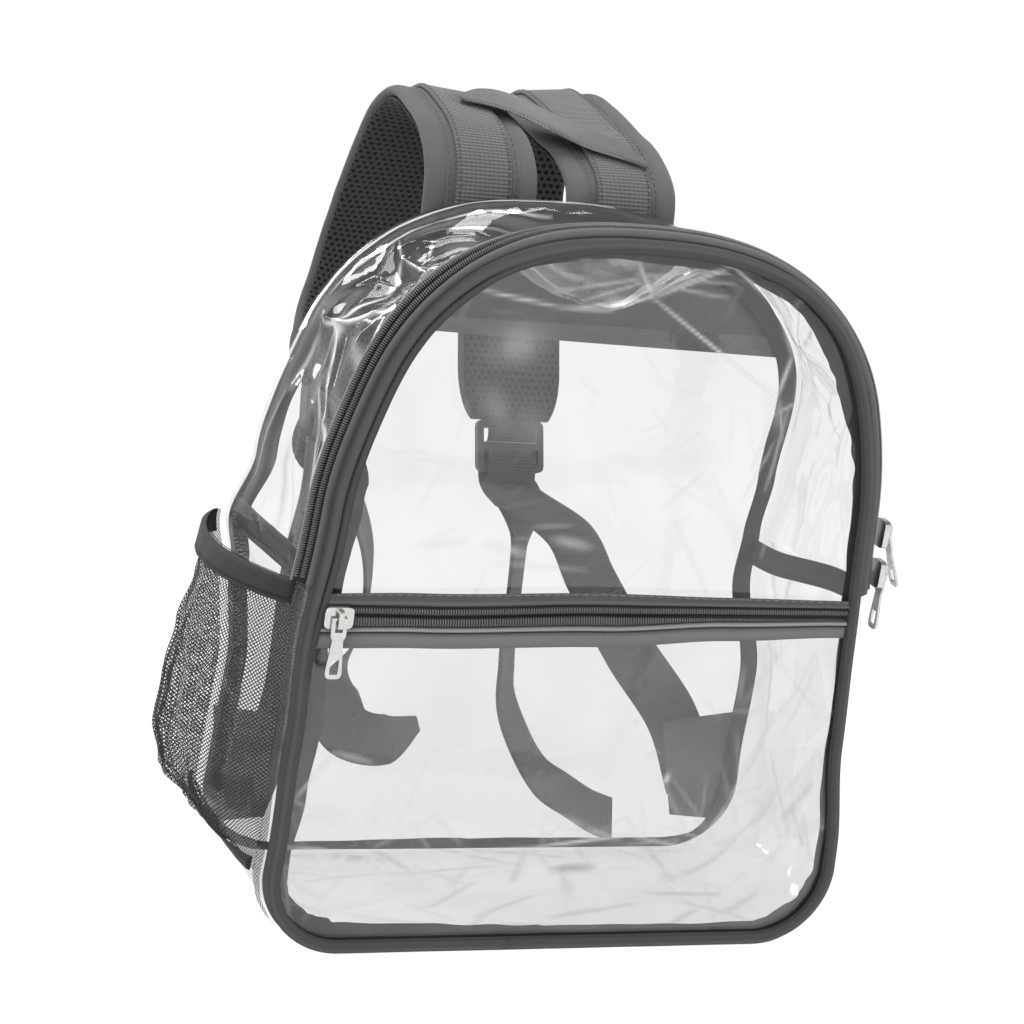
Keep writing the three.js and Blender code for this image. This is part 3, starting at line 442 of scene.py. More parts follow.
def set_painted_light(made, values):
    """Stores painted light at each vertex: a painted highlight up to 1, painted shade down to -1."""
    layer = made.data.attributes.new("tone", "FLOAT", "POINT")
    layer.data.foreach_set("value", np.asarray(values, np.float32).ravel())
    return made


def painted_light_lines(a, b, rows):
    """Painted light from rows of start, end, width and strength: above 0 a painted highlight line,
    below 0 painted shade.
    """
    bright = np.zeros(np.broadcast(a, b).shape)
    dark = np.zeros(bright.shape)
    for start, end, width, strength in rows:
        share, away = from_line(a, b, start, end)
        taper = np.sin(math.pi * (0.06 + 0.88 * share)) ** 0.4
        amount = abs(strength) * taper * ridge(away, 0, width)
        if strength > 0:
            bright = np.maximum(bright, amount)
        else:
            dark = np.maximum(dark, amount)
    return bright - dark * (1 - bright)


def stray_crease_highlights(seed, count, low, high, length, width, strength):
    """Painted highlight lines of short stray creases on a soft sheet, the same on each run."""
    random = np.random.default_rng(seed)
    rows = []
    for _ in range(count):
        start = random.uniform(low, high)
        angle = random.uniform(0, math.pi)
        reach = length * random.uniform(0.4, 1.4)
        end = start + reach * np.array([math.cos(angle), math.sin(angle)])
        rows.append((start, end, width * random.uniform(0.6, 1.6), strength * random.uniform(0.3, 1)))
    return rows


def closed_band(name, upper, lower, angle=60):
    """A band between two faces of the same rows, closed round its edges and ends."""
    made = grid(name, np.concatenate([upper, lower], 1), ring_v=True, caps=True)
    return sharpen(made, angle)


def tube_faces(base, rings, sides):
    """Faces of a closed tube whose points start at base, ring by ring."""
    faces = []
    for s in range(rings - 1):
        for k in range(sides):
            a, b = base + s * sides + k, base + s * sides + (k + 1) % sides
            faces.append((a, b, b + sides, a + sides))
    faces.append(tuple(base + k for k in range(sides))[::-1])
    faces.append(tuple(base + (rings - 1) * sides + k for k in range(sides)))
    return faces


def band_profile(half, low, high, round_off=0.45, steps=8):
    """The outline of a flat band's section as (side, out) pairs with soft edges."""
    top = [(lerp(-half + round_off, half - round_off, i / steps), high) for i in range(steps + 1)]
    middle = (low + high) / 2
    bottom = [(side, low) for side, _ in reversed(top)]
    return np.array(top + [(half, middle)] + bottom + [(-half, middle)])


def centripetal(points, samples=1200):
    """A smooth curve through points, as three.js draws it, evenly spaced."""
    points = np.asarray(points, float)
    ends = [2 * points[0] - points[1], 2 * points[-1] - points[-2]]
    padded = np.concatenate([ends[:1], points, ends[1:]])
    path = []
    per = samples // (len(points) - 1)
    for i in range(len(points) - 1):
        p0, p1, p2, p3 = padded[i : i + 4]
        d0 = max(np.linalg.norm(p1 - p0) ** 0.5, 1e-4)
        d1 = max(np.linalg.norm(p2 - p1) ** 0.5, 1e-4)
        d2 = max(np.linalg.norm(p3 - p2) ** 0.5, 1e-4)
        t1 = ((p1 - p0) / d0 - (p2 - p0) / (d0 + d1) + (p2 - p1) / d1) * d1
        t2 = ((p2 - p1) / d1 - (p3 - p1) / (d1 + d2) + (p3 - p2) / d2) * d1
        t = np.linspace(0, 1, per, endpoint=i == len(points) - 2)[:, None]
        c2 = -3 * p1 + 3 * p2 - 2 * t1 - t2
        c3 = 2 * p1 - 2 * p2 + t1 + t2
        path.append(p1 + t1 * t + c2 * t**2 + c3 * t**3)
    return np.concatenate(path)


class Ribbon:
    """Stations along a curve: centre, along, flat and face."""

    def __init__(self, points, count, flat_at):
        path = centripetal(points)
        run = run_along(path)
        self.length = run[-1]
        self.t = np.linspace(0, 1, count)
        at = self.t * run[-1]
        self.centre = place_at(at, run, path)
        self.along = unit(place_at(at + 0.5, run, path) - place_at(at - 0.5, run, path))
        self.turn_flat(np.array([flat_at(t) for t in self.t]))

    def turn_flat(self, wanted):
        """Turns the ribbon so that its flat side follows the wanted directions."""
        self.face = unit(np.cross(wanted, self.along))
        self.flat = unit(np.cross(self.along, self.face))

    def left(self):
        """The length left to the ribbon's end at each station."""
        return (1 - self.t) * self.length

    def points(self, side, out):
        """Points at a side and an out, each a number or one row per station."""
        side, out = np.broadcast_arrays(np.asarray(side, float), np.asarray(out, float))
        if side.ndim == 1:
            side = np.tile(side, (len(self.t), 1))
            out = np.tile(out, (len(self.t), 1))
        base = self.centre[:, None, :]
        return base + self.flat[:, None, :] * side[..., None] + self.face[:, None, :] * out[..., None]


def strap_ribbon(rows, count, lean):
    points = [(r[2] * STRAP_WIDTH, BACK_Y + r[0] * DEPTH, r[1] * HEIGHT) for r in rows]

    def flat_at(t):
        place = t * (len(rows) - 1)
        low = rows[int(place)]
        high = rows[min(len(rows) - 1, int(place) + 1)]
        turn = math.radians(lerp(low[3], high[3], place % 1))
        tilt = lean * math.sin(math.pi * min(1, t / 0.75)) ** 2
        return (math.cos(turn), math.sin(turn), tilt)

    return Ribbon(points, count, flat_at)


def dashes(name, path, normals, pitch, length, radius, lift=0.15):
    """Sewing stitches: short rounded dashes along a path, each lying on the surface."""
    run = run_along(path)
    count = max(2, int(run[-1] / pitch))
    points, faces = [], []
    ring = 6
    for i in range(count):
        centre = (i + 0.5) * run[-1] / count
        base = len(points)
        for share, size in ((-0.5, 0.35), (-0.3, 1), (0.3, 1), (0.5, 0.35)):
            at = centre + share * length
            p = place_at(at, run, path)
            q = place_at(at + 0.3, run, path)
            r = place_at(at - 0.3, run, path)
            n = unit(place_at(at, run, normals))
            side = unit(np.cross(n, q - r + 1e-9))
            sink = -radius if size < 1 else 0
            for k in range(ring):
                a = 2 * math.pi * k / ring
                off = side * math.cos(a) + n * math.sin(a)
                points.append(p + n * (lift + sink) + off * radius * size)
        faces += tube_faces(base, 4, ring)
    return mesh_object(name, points, faces)


# Materials.


class Look:
    """A material built from nodes round one Principled shader."""

    def __init__(self, name):
        self.material = bpy.data.materials.new(name)
        self.material.use_nodes = True
        self.tree = self.material.node_tree
        self.shader = self.tree.nodes["Principled BSDF"]

    def give(self, socket, value):
        """Links a socket to another, or sets its value."""
        if isinstance(value, bpy.types.NodeSocket):
            self.tree.links.new(value, socket)
        else:
            socket.default_value = value

    def node(self, kind, inputs=None, **settings):
        made = self.tree.nodes.new(kind)
        for key, value in settings.items():
            setattr(made, key, value)
        for key, value in (inputs or {}).items():
            self.give(made.inputs[key], value)
        return made

    def math(self, operation, a, b=0.0, c=0.0, clamp=False):
        made = self.node("ShaderNodeMath", {0: a, 1: b, 2: c}, operation=operation, use_clamp=clamp)
        return made.outputs[0]

    def place(self):
        return self.node("ShaderNodeTexCoord").outputs["Object"]

    def uv(self):
        weave = self.node("ShaderNodeUVMap", uv_map="weave").outputs[0]
        parts = self.node("ShaderNodeSeparateXYZ", {0: weave})
        return parts.outputs[0], parts.outputs[1]

    def noise(self, scale, detail=3.0, vector=None, roughness=0.55):
        inputs = {"Scale": scale, "Detail": detail, "Roughness": roughness}
        inputs["Vector"] = vector or self.place()
        return self.node("ShaderNodeTexNoise", inputs).outputs["Fac"]

    def between(self, share, low, high):
        made = self.node("ShaderNodeMapRange", {0: share, 3: low, 4: high})
        return made.outputs[0]

    def mixed(self, share, dark, light):
        """A colour between two, each a socket or a colour of three levels."""
        made = self.node("ShaderNodeMix", data_type="RGBA")
        self.give(made.inputs["Factor"], share)
        for socket, value in (("A", dark), ("B", light)):
            colour = (*value, 1) if isinstance(value, tuple) else value
            self.give(made.inputs[socket], colour)
        return made.outputs["Result"]

    def tone(self):
        """The stored painted light as how much painted highlight and how much painted shade, each 0 to
        1.
        """
        stored = self.node("ShaderNodeAttribute", attribute_name="tone").outputs["Fac"]
        painted_highlight = self.math("MAXIMUM", stored, 0.0, clamp=True)
        painted_shade = self.math("MULTIPLY", stored, -1.0, clamp=True)
        return painted_highlight, painted_shade

    def tint(self, share, dark, light):
        """A grey between two levels, then lightened by the stored painted highlight and darkened by the
        stored painted shade.
        """
        painted_highlight, painted_shade = self.tone()
        colour = self.mixed(share, dark, light)
        colour = self.mixed(painted_shade, colour, tuple(0.12 * c for c in dark))
        return self.mixed(painted_highlight, colour, tuple(min(0.9, 2.6 * c) for c in light))

    def bump(self, height, distance, strength=1.0, normal=None):
        inputs = {"Height": height, "Distance": distance, "Strength": strength}
        if normal:
            inputs["Normal"] = normal
        return self.node("ShaderNodeBump", inputs).outputs["Normal"]

    def set(self, **values):
        """Sets the shader's sockets, named with _ for each space."""
        for key, value in values.items():
            self.give(self.shader.inputs[key.replace("_", " ")], value)
        return self.material


def grey(level):
    return (level, level, level * 1.01)


def cross_weave(look, u, v, pitch):
    """Plain weave of threads along u and v, 0 to 1."""
    scale = 2 * math.pi / pitch
    over = look.math("SINE", look.math("MULTIPLY", u, scale))
    under = look.math("SINE", look.math("MULTIPLY", v, scale))
    mixed = look.math("MULTIPLY", over, under)
    return look.math("MULTIPLY_ADD", mixed, 0.5, 0.5)


def woven_tape(name, level, pitch=0.0007):
    """Narrow woven tape: fine cross weave, fuzzy sheen and worn lighter patches."""
    look = Look(name)
    u, v = look.uv()
    weave = cross_weave(look, u, v, pitch)
    wear = look.noise(38.0, 4.0)
    fuzz = look.noise(2600.0, 2.0)
    mixed = look.math("ADD", look.math("MULTIPLY", weave, 0.45), look.math("MULTIPLY", wear, 0.35))
    mixed = look.math("ADD", mixed, look.math("MULTIPLY", fuzz, 0.2))
    normal = look.bump(weave, 0.00016)
    normal = look.bump(fuzz, 0.00012, 0.6, normal)
    return look.set(
        Base_Color=look.tint(mixed, grey(level * 0.7), grey(level * 1.3)),
        Roughness=look.between(wear, 0.72, 0.92),
        Normal=normal,
        Sheen_Weight=0.1,
        Sheen_Roughness=0.5,
        Specular_IOR_Level=0.15,
    )


def pad_cloth():
    """Plain canvas on the pads and yoke, with a visible square weave, slubs and soft lighter and darker
    patches.
    """
    look = Look("canvas")
    u, v = look.uv()
    weave = cross_weave(look, u, v, 0.0011)
    slub = look.noise(900.0, 2.0)
    patches = look.noise(22.0, 4.0)
    mixed = look.math("MULTIPLY_ADD", weave, 0.4, look.math("MULTIPLY", slub, 0.3))
    mixed = look.math("ADD", mixed, look.math("MULTIPLY", patches, 0.3))
    colour = look.tint(mixed, grey(0.065), grey(0.135))
    normal = look.bump(weave, 0.0002)
    normal = look.bump(slub, 0.00015, 0.7, normal)
    return look.set(
        Base_Color=colour,
        Roughness=look.between(slub, 0.78, 0.95),
        Normal=normal,
        Sheen_Weight=0.12,
        Sheen_Roughness=0.45,
        Specular_IOR_Level=0.15,
    )


def ribbed_webbing(name, level):
    """Webbing with cross ribs and rows of warp threads."""
    look = Look(name)
    u, v = look.uv()
    ribs = look.math("SINE", look.math("MULTIPLY", u, 2 * math.pi / 0.0016))
    warps = look.math("SINE", look.math("MULTIPLY", v, 2 * math.pi / 0.0021))
    shift = look.math("MULTIPLY", warps, 0.35)
    both = look.math("MULTIPLY_ADD", ribs, 0.4, look.math("MULTIPLY_ADD", shift, 0.5, 0.5))
    slub = look.noise(1500.0, 2.0)
    patches = look.noise(30.0, 3.0)
    mixed = look.math("MULTIPLY_ADD", both, 0.5, look.math("MULTIPLY", slub, 0.25))
    mixed = look.math("ADD", mixed, look.math("MULTIPLY", patches, 0.25))
    colour = look.tint(mixed, grey(level * 0.6), grey(level * 1.45))
    normal = look.bump(both, 0.00035)
    normal = look.bump(slub, 0.0001, 0.5, normal)
    return look.set(
        Base_Color=colour,
        Roughness=look.between(slub, 0.7, 0.9),
        Normal=normal,
        Sheen_Weight=0.25,
        Sheen_Roughness=0.4,
        Specular_IOR_Level=0.25,
    )


def air_mesh():
    """Knitted spacer cloth with staggered round holes, painted dark inside as shade."""
    look = Look("air_mesh")
    u, v = look.uv()
    pitch_u = 0.0031
    pitch_v = 0.0034
    row = look.math("FLOOR", look.math("DIVIDE", u, pitch_u))
    odd = look.math("MULTIPLY", look.math("MODULO", row, 2.0), 0.5)
    across = look.math("ADD", look.math("DIVIDE", v, pitch_v), odd)
    a = look.math("SUBTRACT", look.math("FRACT", look.math("DIVIDE", u, pitch_u)), 0.5)
    b = look.math("SUBTRACT", look.math("FRACT", across), 0.5)
    squares = look.math("ADD", look.math("MULTIPLY", a, a), look.math("MULTIPLY", b, b))
    distance = look.math("SQRT", squares)
    edge = {0: distance, 1: 0.24, 2: 0.36, 3: 0.0, 4: 1.0}
    hole = look.node("ShaderNodeMapRange", edge, interpolation_type="SMOOTHSTEP").outputs[0]
    fuzz = look.noise(1800.0, 3.0)
    # The holes get the darkest grey: painted shade inside them.
    mixed = look.math("MULTIPLY", hole, look.math("MULTIPLY_ADD", fuzz, 0.5, 0.6))
    normal = look.bump(hole, 0.0008)
    normal = look.bump(fuzz, 0.00025, 0.7, normal)
    return look.set(
        Base_Color=look.tint(mixed, grey(0.006), grey(0.05)),
        Roughness=look.between(fuzz, 0.8, 1.0),
        Normal=normal,
        Sheen_Weight=0.1,
        Specular_IOR_Level=0.1,
    )


def clear_sheet(name, film, level):
    """Clear soft sheet: light passes face on and it is glossy at a glance; painted highlights, partly
    the whitening of creased plastic, make creases show white, and painted shade darkens streaks.
    """
    look = Look(name)
    facing = look.node("ShaderNodeLayerWeight", {"Blend": 0.5}).outputs["Facing"]
    steep = look.math("POWER", facing, 4.0)
    cloud = 0.06
    haze = look.noise(13.0, 6.0, roughness=0.62)
    alpha = look.math("MULTIPLY_ADD", haze, 4 * cloud, film - 2 * cloud)
    alpha = look.math("MULTIPLY_ADD", steep, 0.5, alpha)
    # Painted highlights turn the sheet white and painted shade turns it dark, both more opaque and less
    # mirror-like.
    painted_highlight, painted_shade = look.tone()
    alpha = look.math("MULTIPLY_ADD", painted_highlight, 0.9, alpha)
    alpha = look.math("MULTIPLY_ADD", painted_shade, 0.75, alpha, clamp=True)
    soft = look.noise(48.0, 2.0)
    fine = look.noise(260.0, 2.0)
    normal = look.bump(soft, 0.0014, 0.4)
    normal = look.bump(fine, 0.00012, 0.3, normal)
    colour = look.mixed(haze, grey(level * 0.75), grey(level * 1.15))
    colour = look.mixed(painted_highlight, colour, (0.93, 0.93, 0.94))
    colour = look.mixed(painted_shade, colour, (0.05, 0.05, 0.052))
    painted_light_amount = look.math("MAXIMUM", painted_highlight, painted_shade)
    return look.set(
        Base_Color=colour,
        Metallic=look.math("MULTIPLY_ADD", painted_light_amount, -0.85, 0.9, clamp=True),
        Roughness=look.between(soft, 0.03, 0.1),
        Alpha=alpha,
        Normal=normal,
    )


def coil_plastic():
    look = Look("coil")
    streak = look.noise(1400.0, 2.0)
    patches = look.noise(60.0, 3.0)
    colour = look.tint(patches, grey(0.07), grey(0.13))
    return look.set(
        Base_Color=colour,
        Roughness=look.between(streak, 0.3, 0.5),
        Normal=look.bump(streak, 0.00005, 0.5),
        Specular_IOR_Level=0.5,
    )


def nickel():
    """Plated metal with fine brushing, small dings and softened edges."""
    look = Look("nickel_plate")
    coords = look.node("ShaderNodeMapping", {0: look.place(), 3: (1.0, 1.0, 7.0)}).outputs[0]
    brushed = look.noise(900.0, 3.0, coords)
    dings = look.noise(240.0, 4.0)
    edge = look.node("ShaderNodeBevel", {"Radius": 0.00035}, samples=6).outputs[0]
    normal = look.bump(dings, 0.00012, 0.5, edge)
    normal = look.bump(brushed, 0.00002, 0.6, normal)
    colour = look.tint(dings, (0.56, 0.55, 0.54), (0.8, 0.79, 0.77))
    return look.set(
        Base_Color=colour,
        Metallic=1.0,
        Roughness=look.between(brushed, 0.12, 0.3),
        Normal=normal,
    )


def lock_plastic():
    look = Look("moulded_lock")
    grain = look.noise(1900.0, 3.0)
    scuffs = look.noise(110.0, 5.0)
    edge = look.node("ShaderNodeBevel", {"Radius": 0.0006}, samples=6).outputs[0]
    colour = look.tint(scuffs, grey(0.028), grey(0.075))
    return look.set(
        Base_Color=colour,
        Roughness=look.between(scuffs, 0.32, 0.6),
        Normal=look.bump(grain, 0.00008, 0.6, edge),
    )


def open_net():
    """Knotless diamond net: slanting threads both ways, and holes that let light through."""
    look = Look("diamond_net")
    u, v = look.uv()
    pitch = 0.0018
    wobble = look.noise(260.0, 2.0)
    shake = look.math("MULTIPLY", look.math("SUBTRACT", wobble, 0.5), 0.0007)
    u = look.math("ADD", u, shake)
    near = []
    for slant in ("ADD", "SUBTRACT"):
        line = look.math("DIVIDE", look.math(slant, u, v), pitch)
        near.append(look.math("ABSOLUTE", look.math("SUBTRACT", look.math("FRACT", line), 0.5)))
    thread = look.math("MAXIMUM", near[0], near[1])
    solid = look.node("ShaderNodeMapRange", {0: thread, 1: 0.3, 2: 0.35, 3: 0.0, 4: 1.0}).outputs[0]
    fuzz = look.noise(3000.0, 2.0)
    return look.set(
        Base_Color=look.tint(fuzz, grey(0.018), grey(0.06)),
        Roughness=look.between(fuzz, 0.7, 0.95),
        Alpha=solid,
        Normal=look.bump(thread, 0.0003),
        Specular_IOR_Level=0.2,
    )


def thread(name, level):
    look = Look(name)
    twist = look.noise(4200.0, 2.0)
    colour = look.tint(twist, grey(level * 0.8), grey(level * 1.2))
    return look.set(
        Base_Color=colour,
        Roughness=look.between(twist, 0.55, 0.8),
        Normal=look.bump(twist, 0.00008, 0.6),
        Sheen_Weight=0.2,
    )


def floor_paint():
    look = Look("floor")
    mottle = look.noise(3.0, 3.0)
    colour = look.mixed(mottle, grey(0.05), grey(0.06))
    return look.set(
        Base_Color=colour,
        Roughness=look.between(mottle, 0.75, 0.9),
        Normal=look.bump(mottle, 0.0005, 0.2),
        Specular_IOR_Level=0.0,
        Emission_Color=(1, 1, 1, 1),
        Emission_Strength=0.98,
    )


# The camera, the floor and the lights.


def make_camera():
    data = bpy.data.cameras.new("photo_camera")
    data.lens = CAMERA_LENS
    data.sensor_width = 36
    data.clip_end = 100
    made = bpy.data.objects.new("photo_camera", data)
    right = Vector(CAMERA_RIGHT).normalized()
    forward = Vector(CAMERA_FORWARD).normalized()
    up = right.cross(forward)
    turn = Matrix((right, up, -forward)).transposed()
    made.matrix_world = Matrix.Translation(CAMERA_PLACE) @ turn.to_4x4()
    bpy.context.scene.collection.objects.link(made)
    bpy.context.scene.camera = made


def make_floor():
    rings = np.array([0, 0.4, 0.8, 1.6, 3, 6, 12, 30]) * 1000.0
    angles = np.linspace(0, 2 * math.pi, 73)[:-1]
    points = np.zeros((len(rings), len(angles), 3))
    points[..., 0] = rings[:, None] * np.cos(angles)
    points[..., 1] = rings[:, None] * np.sin(angles)
    points[..., 2] = -FLOOR_DROP
    floor = grid("studio_floor", points, ring_v=True)
    floor.data.materials.append(floor_paint())


def make_light(name, place, aim, width, height, watts):
    data = bpy.data.lights.new(name, "AREA")
    data.shape = "RECTANGLE"
    data.size = width
    data.size_y = height
    data.energy = watts
    made = bpy.data.objects.new(name, data)
    made.location = place
    made.rotation_euler = (Vector(aim) - Vector(place)).to_track_quat("-Z", "Y").to_euler()
    bpy.context.scene.collection.objects.link(made)


def make_lights():
    make_light("key_softbox", (-1.2, -1.2, 1.7), (0, 0, 0.15), 1.6, 1.1, 34)
    make_light("side_strip", (1.6, -0.9, 0.9), (0, 0, 0.15), 0.5, 1.4, 14)
    make_light("top_softbox", (-0.2, 0.3, 1.9), (0, 0, 0.1), 1.7, 0.9, 30)
    make_light("rear_strip", (-0.9, 1.2, 1.0), (0, 0, 0.2), 0.25, 1.4, 9)
    world = bpy.data.worlds.new("studio")
    world.use_nodes = True
    tree = world.node_tree
    place = tree.nodes.new("ShaderNodeTexCoord")
    parts = tree.nodes.new("ShaderNodeSeparateXYZ")
    tree.links.new(place.outputs["Generated"], parts.inputs[0])
    ramp = tree.nodes.new("ShaderNodeValToRGB")
    stops = [(0.0, 1.0), (0.16, 0.95), (0.34, 0.3), (0.5, 0.12), (0.68, 0.55), (0.8, 0.15), (1.0, 0.25)]
    elements = ramp.color_ramp.elements
    while len(elements) < len(stops):
        elements.new(0.5)
    for element, (position, level) in zip(elements, stops):
        element.position = position
        element.color = (level, level, level * 1.01, 1)
    tree.links.new(parts.outputs[2], ramp.inputs[0])
    tree.links.new(ramp.outputs[0], tree.nodes["Background"].inputs[0])
    tree.nodes["Background"].inputs[1].default_value = 1.0
    bpy.context.scene.world = world


# Painted light streaks: start, end, width and strength, above 0 a painted highlight and below 0 painted
# shade.
# The gusset's are places of (station, depth), the others are (x, z).
GUSSET_PAINTED_STREAKS = [
    ((25.0, 47.6), (38.7, 46.6), 1.3, 0.85),
    ((26.2, 42.5), (38.0, 41.5), 3.0, -0.3),
    ((26.4, 36.5), (29.6, 37.5), 1.2, 0.75),
    ((29.6, 37.5), (33.6, 41.0), 1.4, 0.8),
    ((26.6, 27.0), (30.6, 31.5), 0.9, 0.45),
    ((26.0, 31.5), (30.6, 34.5), 2.6, -0.7),
    ((31.2, 34.0), (34.0, 36.0), 2.8, -0.6),
    ((34.15, 5.0), (32.6, 12.5), 1.2, 0.9),
    ((32.6, 12.5), (31.2, 24.5), 1.0, 0.75),
    ((31.2, 24.5), (30.8, 36.0), 0.9, 0.6),
    ((34.15, 5.0), (33.35, -13.5), 1.7, 1.0),
    ((33.35, -13.5), (32.5, -35.0), 1.5, 1.0),
    ((34.15, 5.0), (35.4, 1.5), 2.6, 0.9),
    ((35.4, 1.5), (36.6, -16.0), 1.4, 0.85),
    ((36.6, -16.0), (37.4, -28.0), 1.2, 0.85),
    ((37.4, -28.0), (38.6, -36.0), 1.1, 0.7),
    ((35.8, 4.0), (36.8, -10.0), 1.0, 0.55),
    ((36.8, -10.0), (38.2, -24.0), 1.0, 0.55),
    ((34.15, 5.0), (34.4, 20.0), 1.6, 0.7),
    ((34.4, 20.0), (34.1, 36.0), 1.2, 0.5),
    ((34.9, 28.0), (36.4, 30.0), 2.4, 0.45),
    ((29.0, -43.0), (38.8, -43.0), 0.9, 0.8),
    ((31.15, 24.5), (30.9, 3.5), 0.9, 0.8),
    ((30.9, 3.5), (30.35, -34.0), 0.9, 0.75),
    ((31.65, -5.5), (30.9, -34.0), 1.0, 0.8),
    ((31.65, -5.5), (32.3, 4.0), 0.9, 0.7),
    ((32.3, 4.0), (31.9, 14.0), 0.9, 0.6),
    ((31.9, 14.0), (31.3, 12.0), 0.9, 0.5),
    ((30.0, 23.0), (30.7, 14.0), 0.9, 0.7),
    ((30.0, 23.0), (28.6, 25.0), 0.9, 0.6),
    ((32.9, 0.0), (32.3, -12.0), 0.9, 0.55),
    ((32.7, 8.0), (32.9, -6.0), 2.2, -0.6),
    ((31.3, -14.0), (31.5, -28.0), 3.4, -0.95),
    ((31.9, -10.0), (32.4, -24.0), 2.6, -0.6),
    ((30.6, -16.0), (30.6, -32.0), 1.4, -0.7),
    ((30.7, 20.0), (30.5, 8.0), 3.0, -0.8),
    ((26.4, 16.0), (29.8, 14.0), 4.6, -0.85),
    ((26.4, 4.0), (29.6, -4.0), 2.4, -0.6),
    ((26.2, -6.0), (29.6, -16.0), 1.3, 0.5),
    ((26.4, 0.5), (29.4, -9.5), 0.9, 0.55),
    ((26.8, -16.0), (29.4, -26.0), 2.8, -0.7),
    ((26.0, -26.0), (28.4, -33.0), 1.4, 0.55),
    ((33.0, 22.0), (33.8, 16.0), 3.4, -0.75),
    ((35.2, 16.0), (36.2, 6.0), 4.2, -0.7),
    ((35.8, -12.0), (36.5, -26.0), 3.4, -0.6),
    ((34.4, -14.0), (35.0, -28.0), 4.4, 0.42),
    ((37.4, 10.0), (38.6, 2.0), 3.0, -0.4),
    ((36.4, 38.0), (38.6, 36.0), 2.2, -0.55),
    ((24.0, 44.0), (15.0, 44.0), 1.2, 0.4),
    ((25.0, 8.0), (22.5, 14.0), 1.0, 0.6),
    ((25.5, -2.0), (22.8, -10.0), 1.4, 0.55),
    ((24.6, -16.0), (22.0, -4.0), 1.0, 0.6),
    ((23.2, -24.0), (21.0, -12.0), 1.2, 0.6),
    ((22.6, 4.0), (20.6, 18.0), 1.2, 0.5),
    ((25.6, 16.0), (24.6, 4.0), 3.4, 0.4),
    ((26.2, -10.0), (25.2, -20.0), 3.0, 0.45),
    ((20.0, -20.0), (18.4, 4.0), 1.2, 0.5),
    ((18.6, 12.0), (17.4, -14.0), 0.9, 0.5),
    ((17.4, -14.0), (16.0, -30.0), 0.9, 0.4),
    ((16.8, 24.0), (15.2, -6.0), 1.0, 0.35),
]
PANEL_PAINTED_STREAKS = [
    ((2.6, 282), (65.4, 243), 0.8, 0.6),
    ((65.4, 243), (70, 226), 0.8, 0.4),
    ((2.6, 282), (35, 297), 1.0, 0.55),
    ((-6, 296), (3, 281), 1.0, 0.5),
    ((-6, 291), (38, 290), 0.8, 0.4),
    ((-30, 276), (2.6, 282), 0.8, 0.6),
    ((-72, 281), (-37, 276), 0.8, 0.55),
    ((-37, 276), (-14, 276), 0.8, 0.6),
    ((-40, 282), (0, 290), 0.8, 0.4),
    ((-28, 279), (12, 293), 0.7, 0.4),
    ((8, 287), (36, 284), 0.8, 0.35),
    ((35, 297), (58, 282), 0.9, 0.5),
    ((58, 283), (68, 262), 1.2, 0.4),
    ((68, 262), (64, 244), 1.2, 0.5),
    ((72, 256), (74, 232), 1.0, 0.35),
    ((64, 244), (58, 214), 0.9, 0.45),
    ((70, 240), (66, 205), 0.9, 0.35),
    ((62, 236), (76, 244), 1.0, 0.4),
    ((66, 226), (56, 200), 1.0, 0.3),
    ((60, 246), (69, 232), 4.0, 0.22),
    ((76, 214), (70, 176), 0.9, 0.3),
    ((-59, 258), (-45, 262), 8.0, 0.3),
    ((-62, 240), (-52, 228), 6.0, 0.2),
    ((-50, 232), (-36, 226), 9.0, 0.16),
    ((-78, 176), (-62, 179), 1.6, 0.3),
    ((-52, 178), (-36, 174), 2.2, 0.4),
    ((-24, 181), (-8, 178), 2.6, 0.4),
    ((-34, 186), (-16, 187), 1.4, 0.3),
    ((-48, 170), (-8, 168), 1.4, 0.25),
    ((28, 190), (48, 160), 1.4, 0.2),
    ((-60, 205), (20, 178), 12.0, -0.07),
    ((-96, 240), (-88, 200), 7.0, -0.07),
    ((-10, 228), (36, 214), 10.0, -0.06),
]
POCKET_PAINTED_STREAKS = [
    ((-121, 47), (-60, 42), 0.9, 0.5),
    ((-60, 42), (-12, 47), 0.9, 0.5),
    ((-12, 47), (30, 52), 0.9, 0.6),
    ((30, 52), (64, 44), 1.0, 0.45),
    ((-118, 38), (-40, 33), 0.9, 0.4),
    ((-40, 33), (20, 44), 1.0, 0.4),
    ((20, 44), (80, 26), 0.9, 0.4),
    ((-30, 40), (-6, 44), 4.0, 0.42),
    ((-100, 44), (-78, 42), 3.0, -0.45),
    ((-2, 37), (16, 37), 2.2, -0.6),
    ((44, 56), (98, 40), 0.9, 0.35),
    ((60, 40), (112, 52), 0.9, 0.35),
    ((79, 136), (84, 96), 0.9, 0.4),
    ((84, 96), (98, 118), 0.8, 0.35),
    ((84, 96), (74, 66), 1.1, 0.4),
    ((84, 96), (100, 54), 0.9, 0.35),
    ((74, 66), (62, 44), 1.3, 0.4),
    ((98, 118), (104, 136), 0.8, 0.3),
    ((104, 40), (112, 90), 2.4, 0.25),
    ((-118, 68), (-104, 88), 1.2, 0.4),
    ((-104, 88), (-88, 84), 1.4, 0.35),
    ((-112, 62), (-98, 60), 3.0, 0.3),
    ((-60, 20), (10, 27), 1.3, 0.4),
    ((10, 27), (70, 20), 1.3, 0.35),
    ((-76, 28), (-60, 32), 2.6, 0.4),
    ((-100, 18), (-70, 24), 1.2, 0.3),
    ((22, 102), (25, 104), 1.8, 0.35),
    ((32, 88), (35, 90), 1.9, 0.4),
    ((42, 76), (43, 80), 1.6, 0.6),
    ((-10, 62), (8, 56), 2.6, 0.4),
    ((8, 56), (26, 50), 2.0, 0.35),
    ((-90, 108), (20, 92), 16.0, -0.06),
    ((-60, 66), (-10, 60), 8.0, -0.06),
]

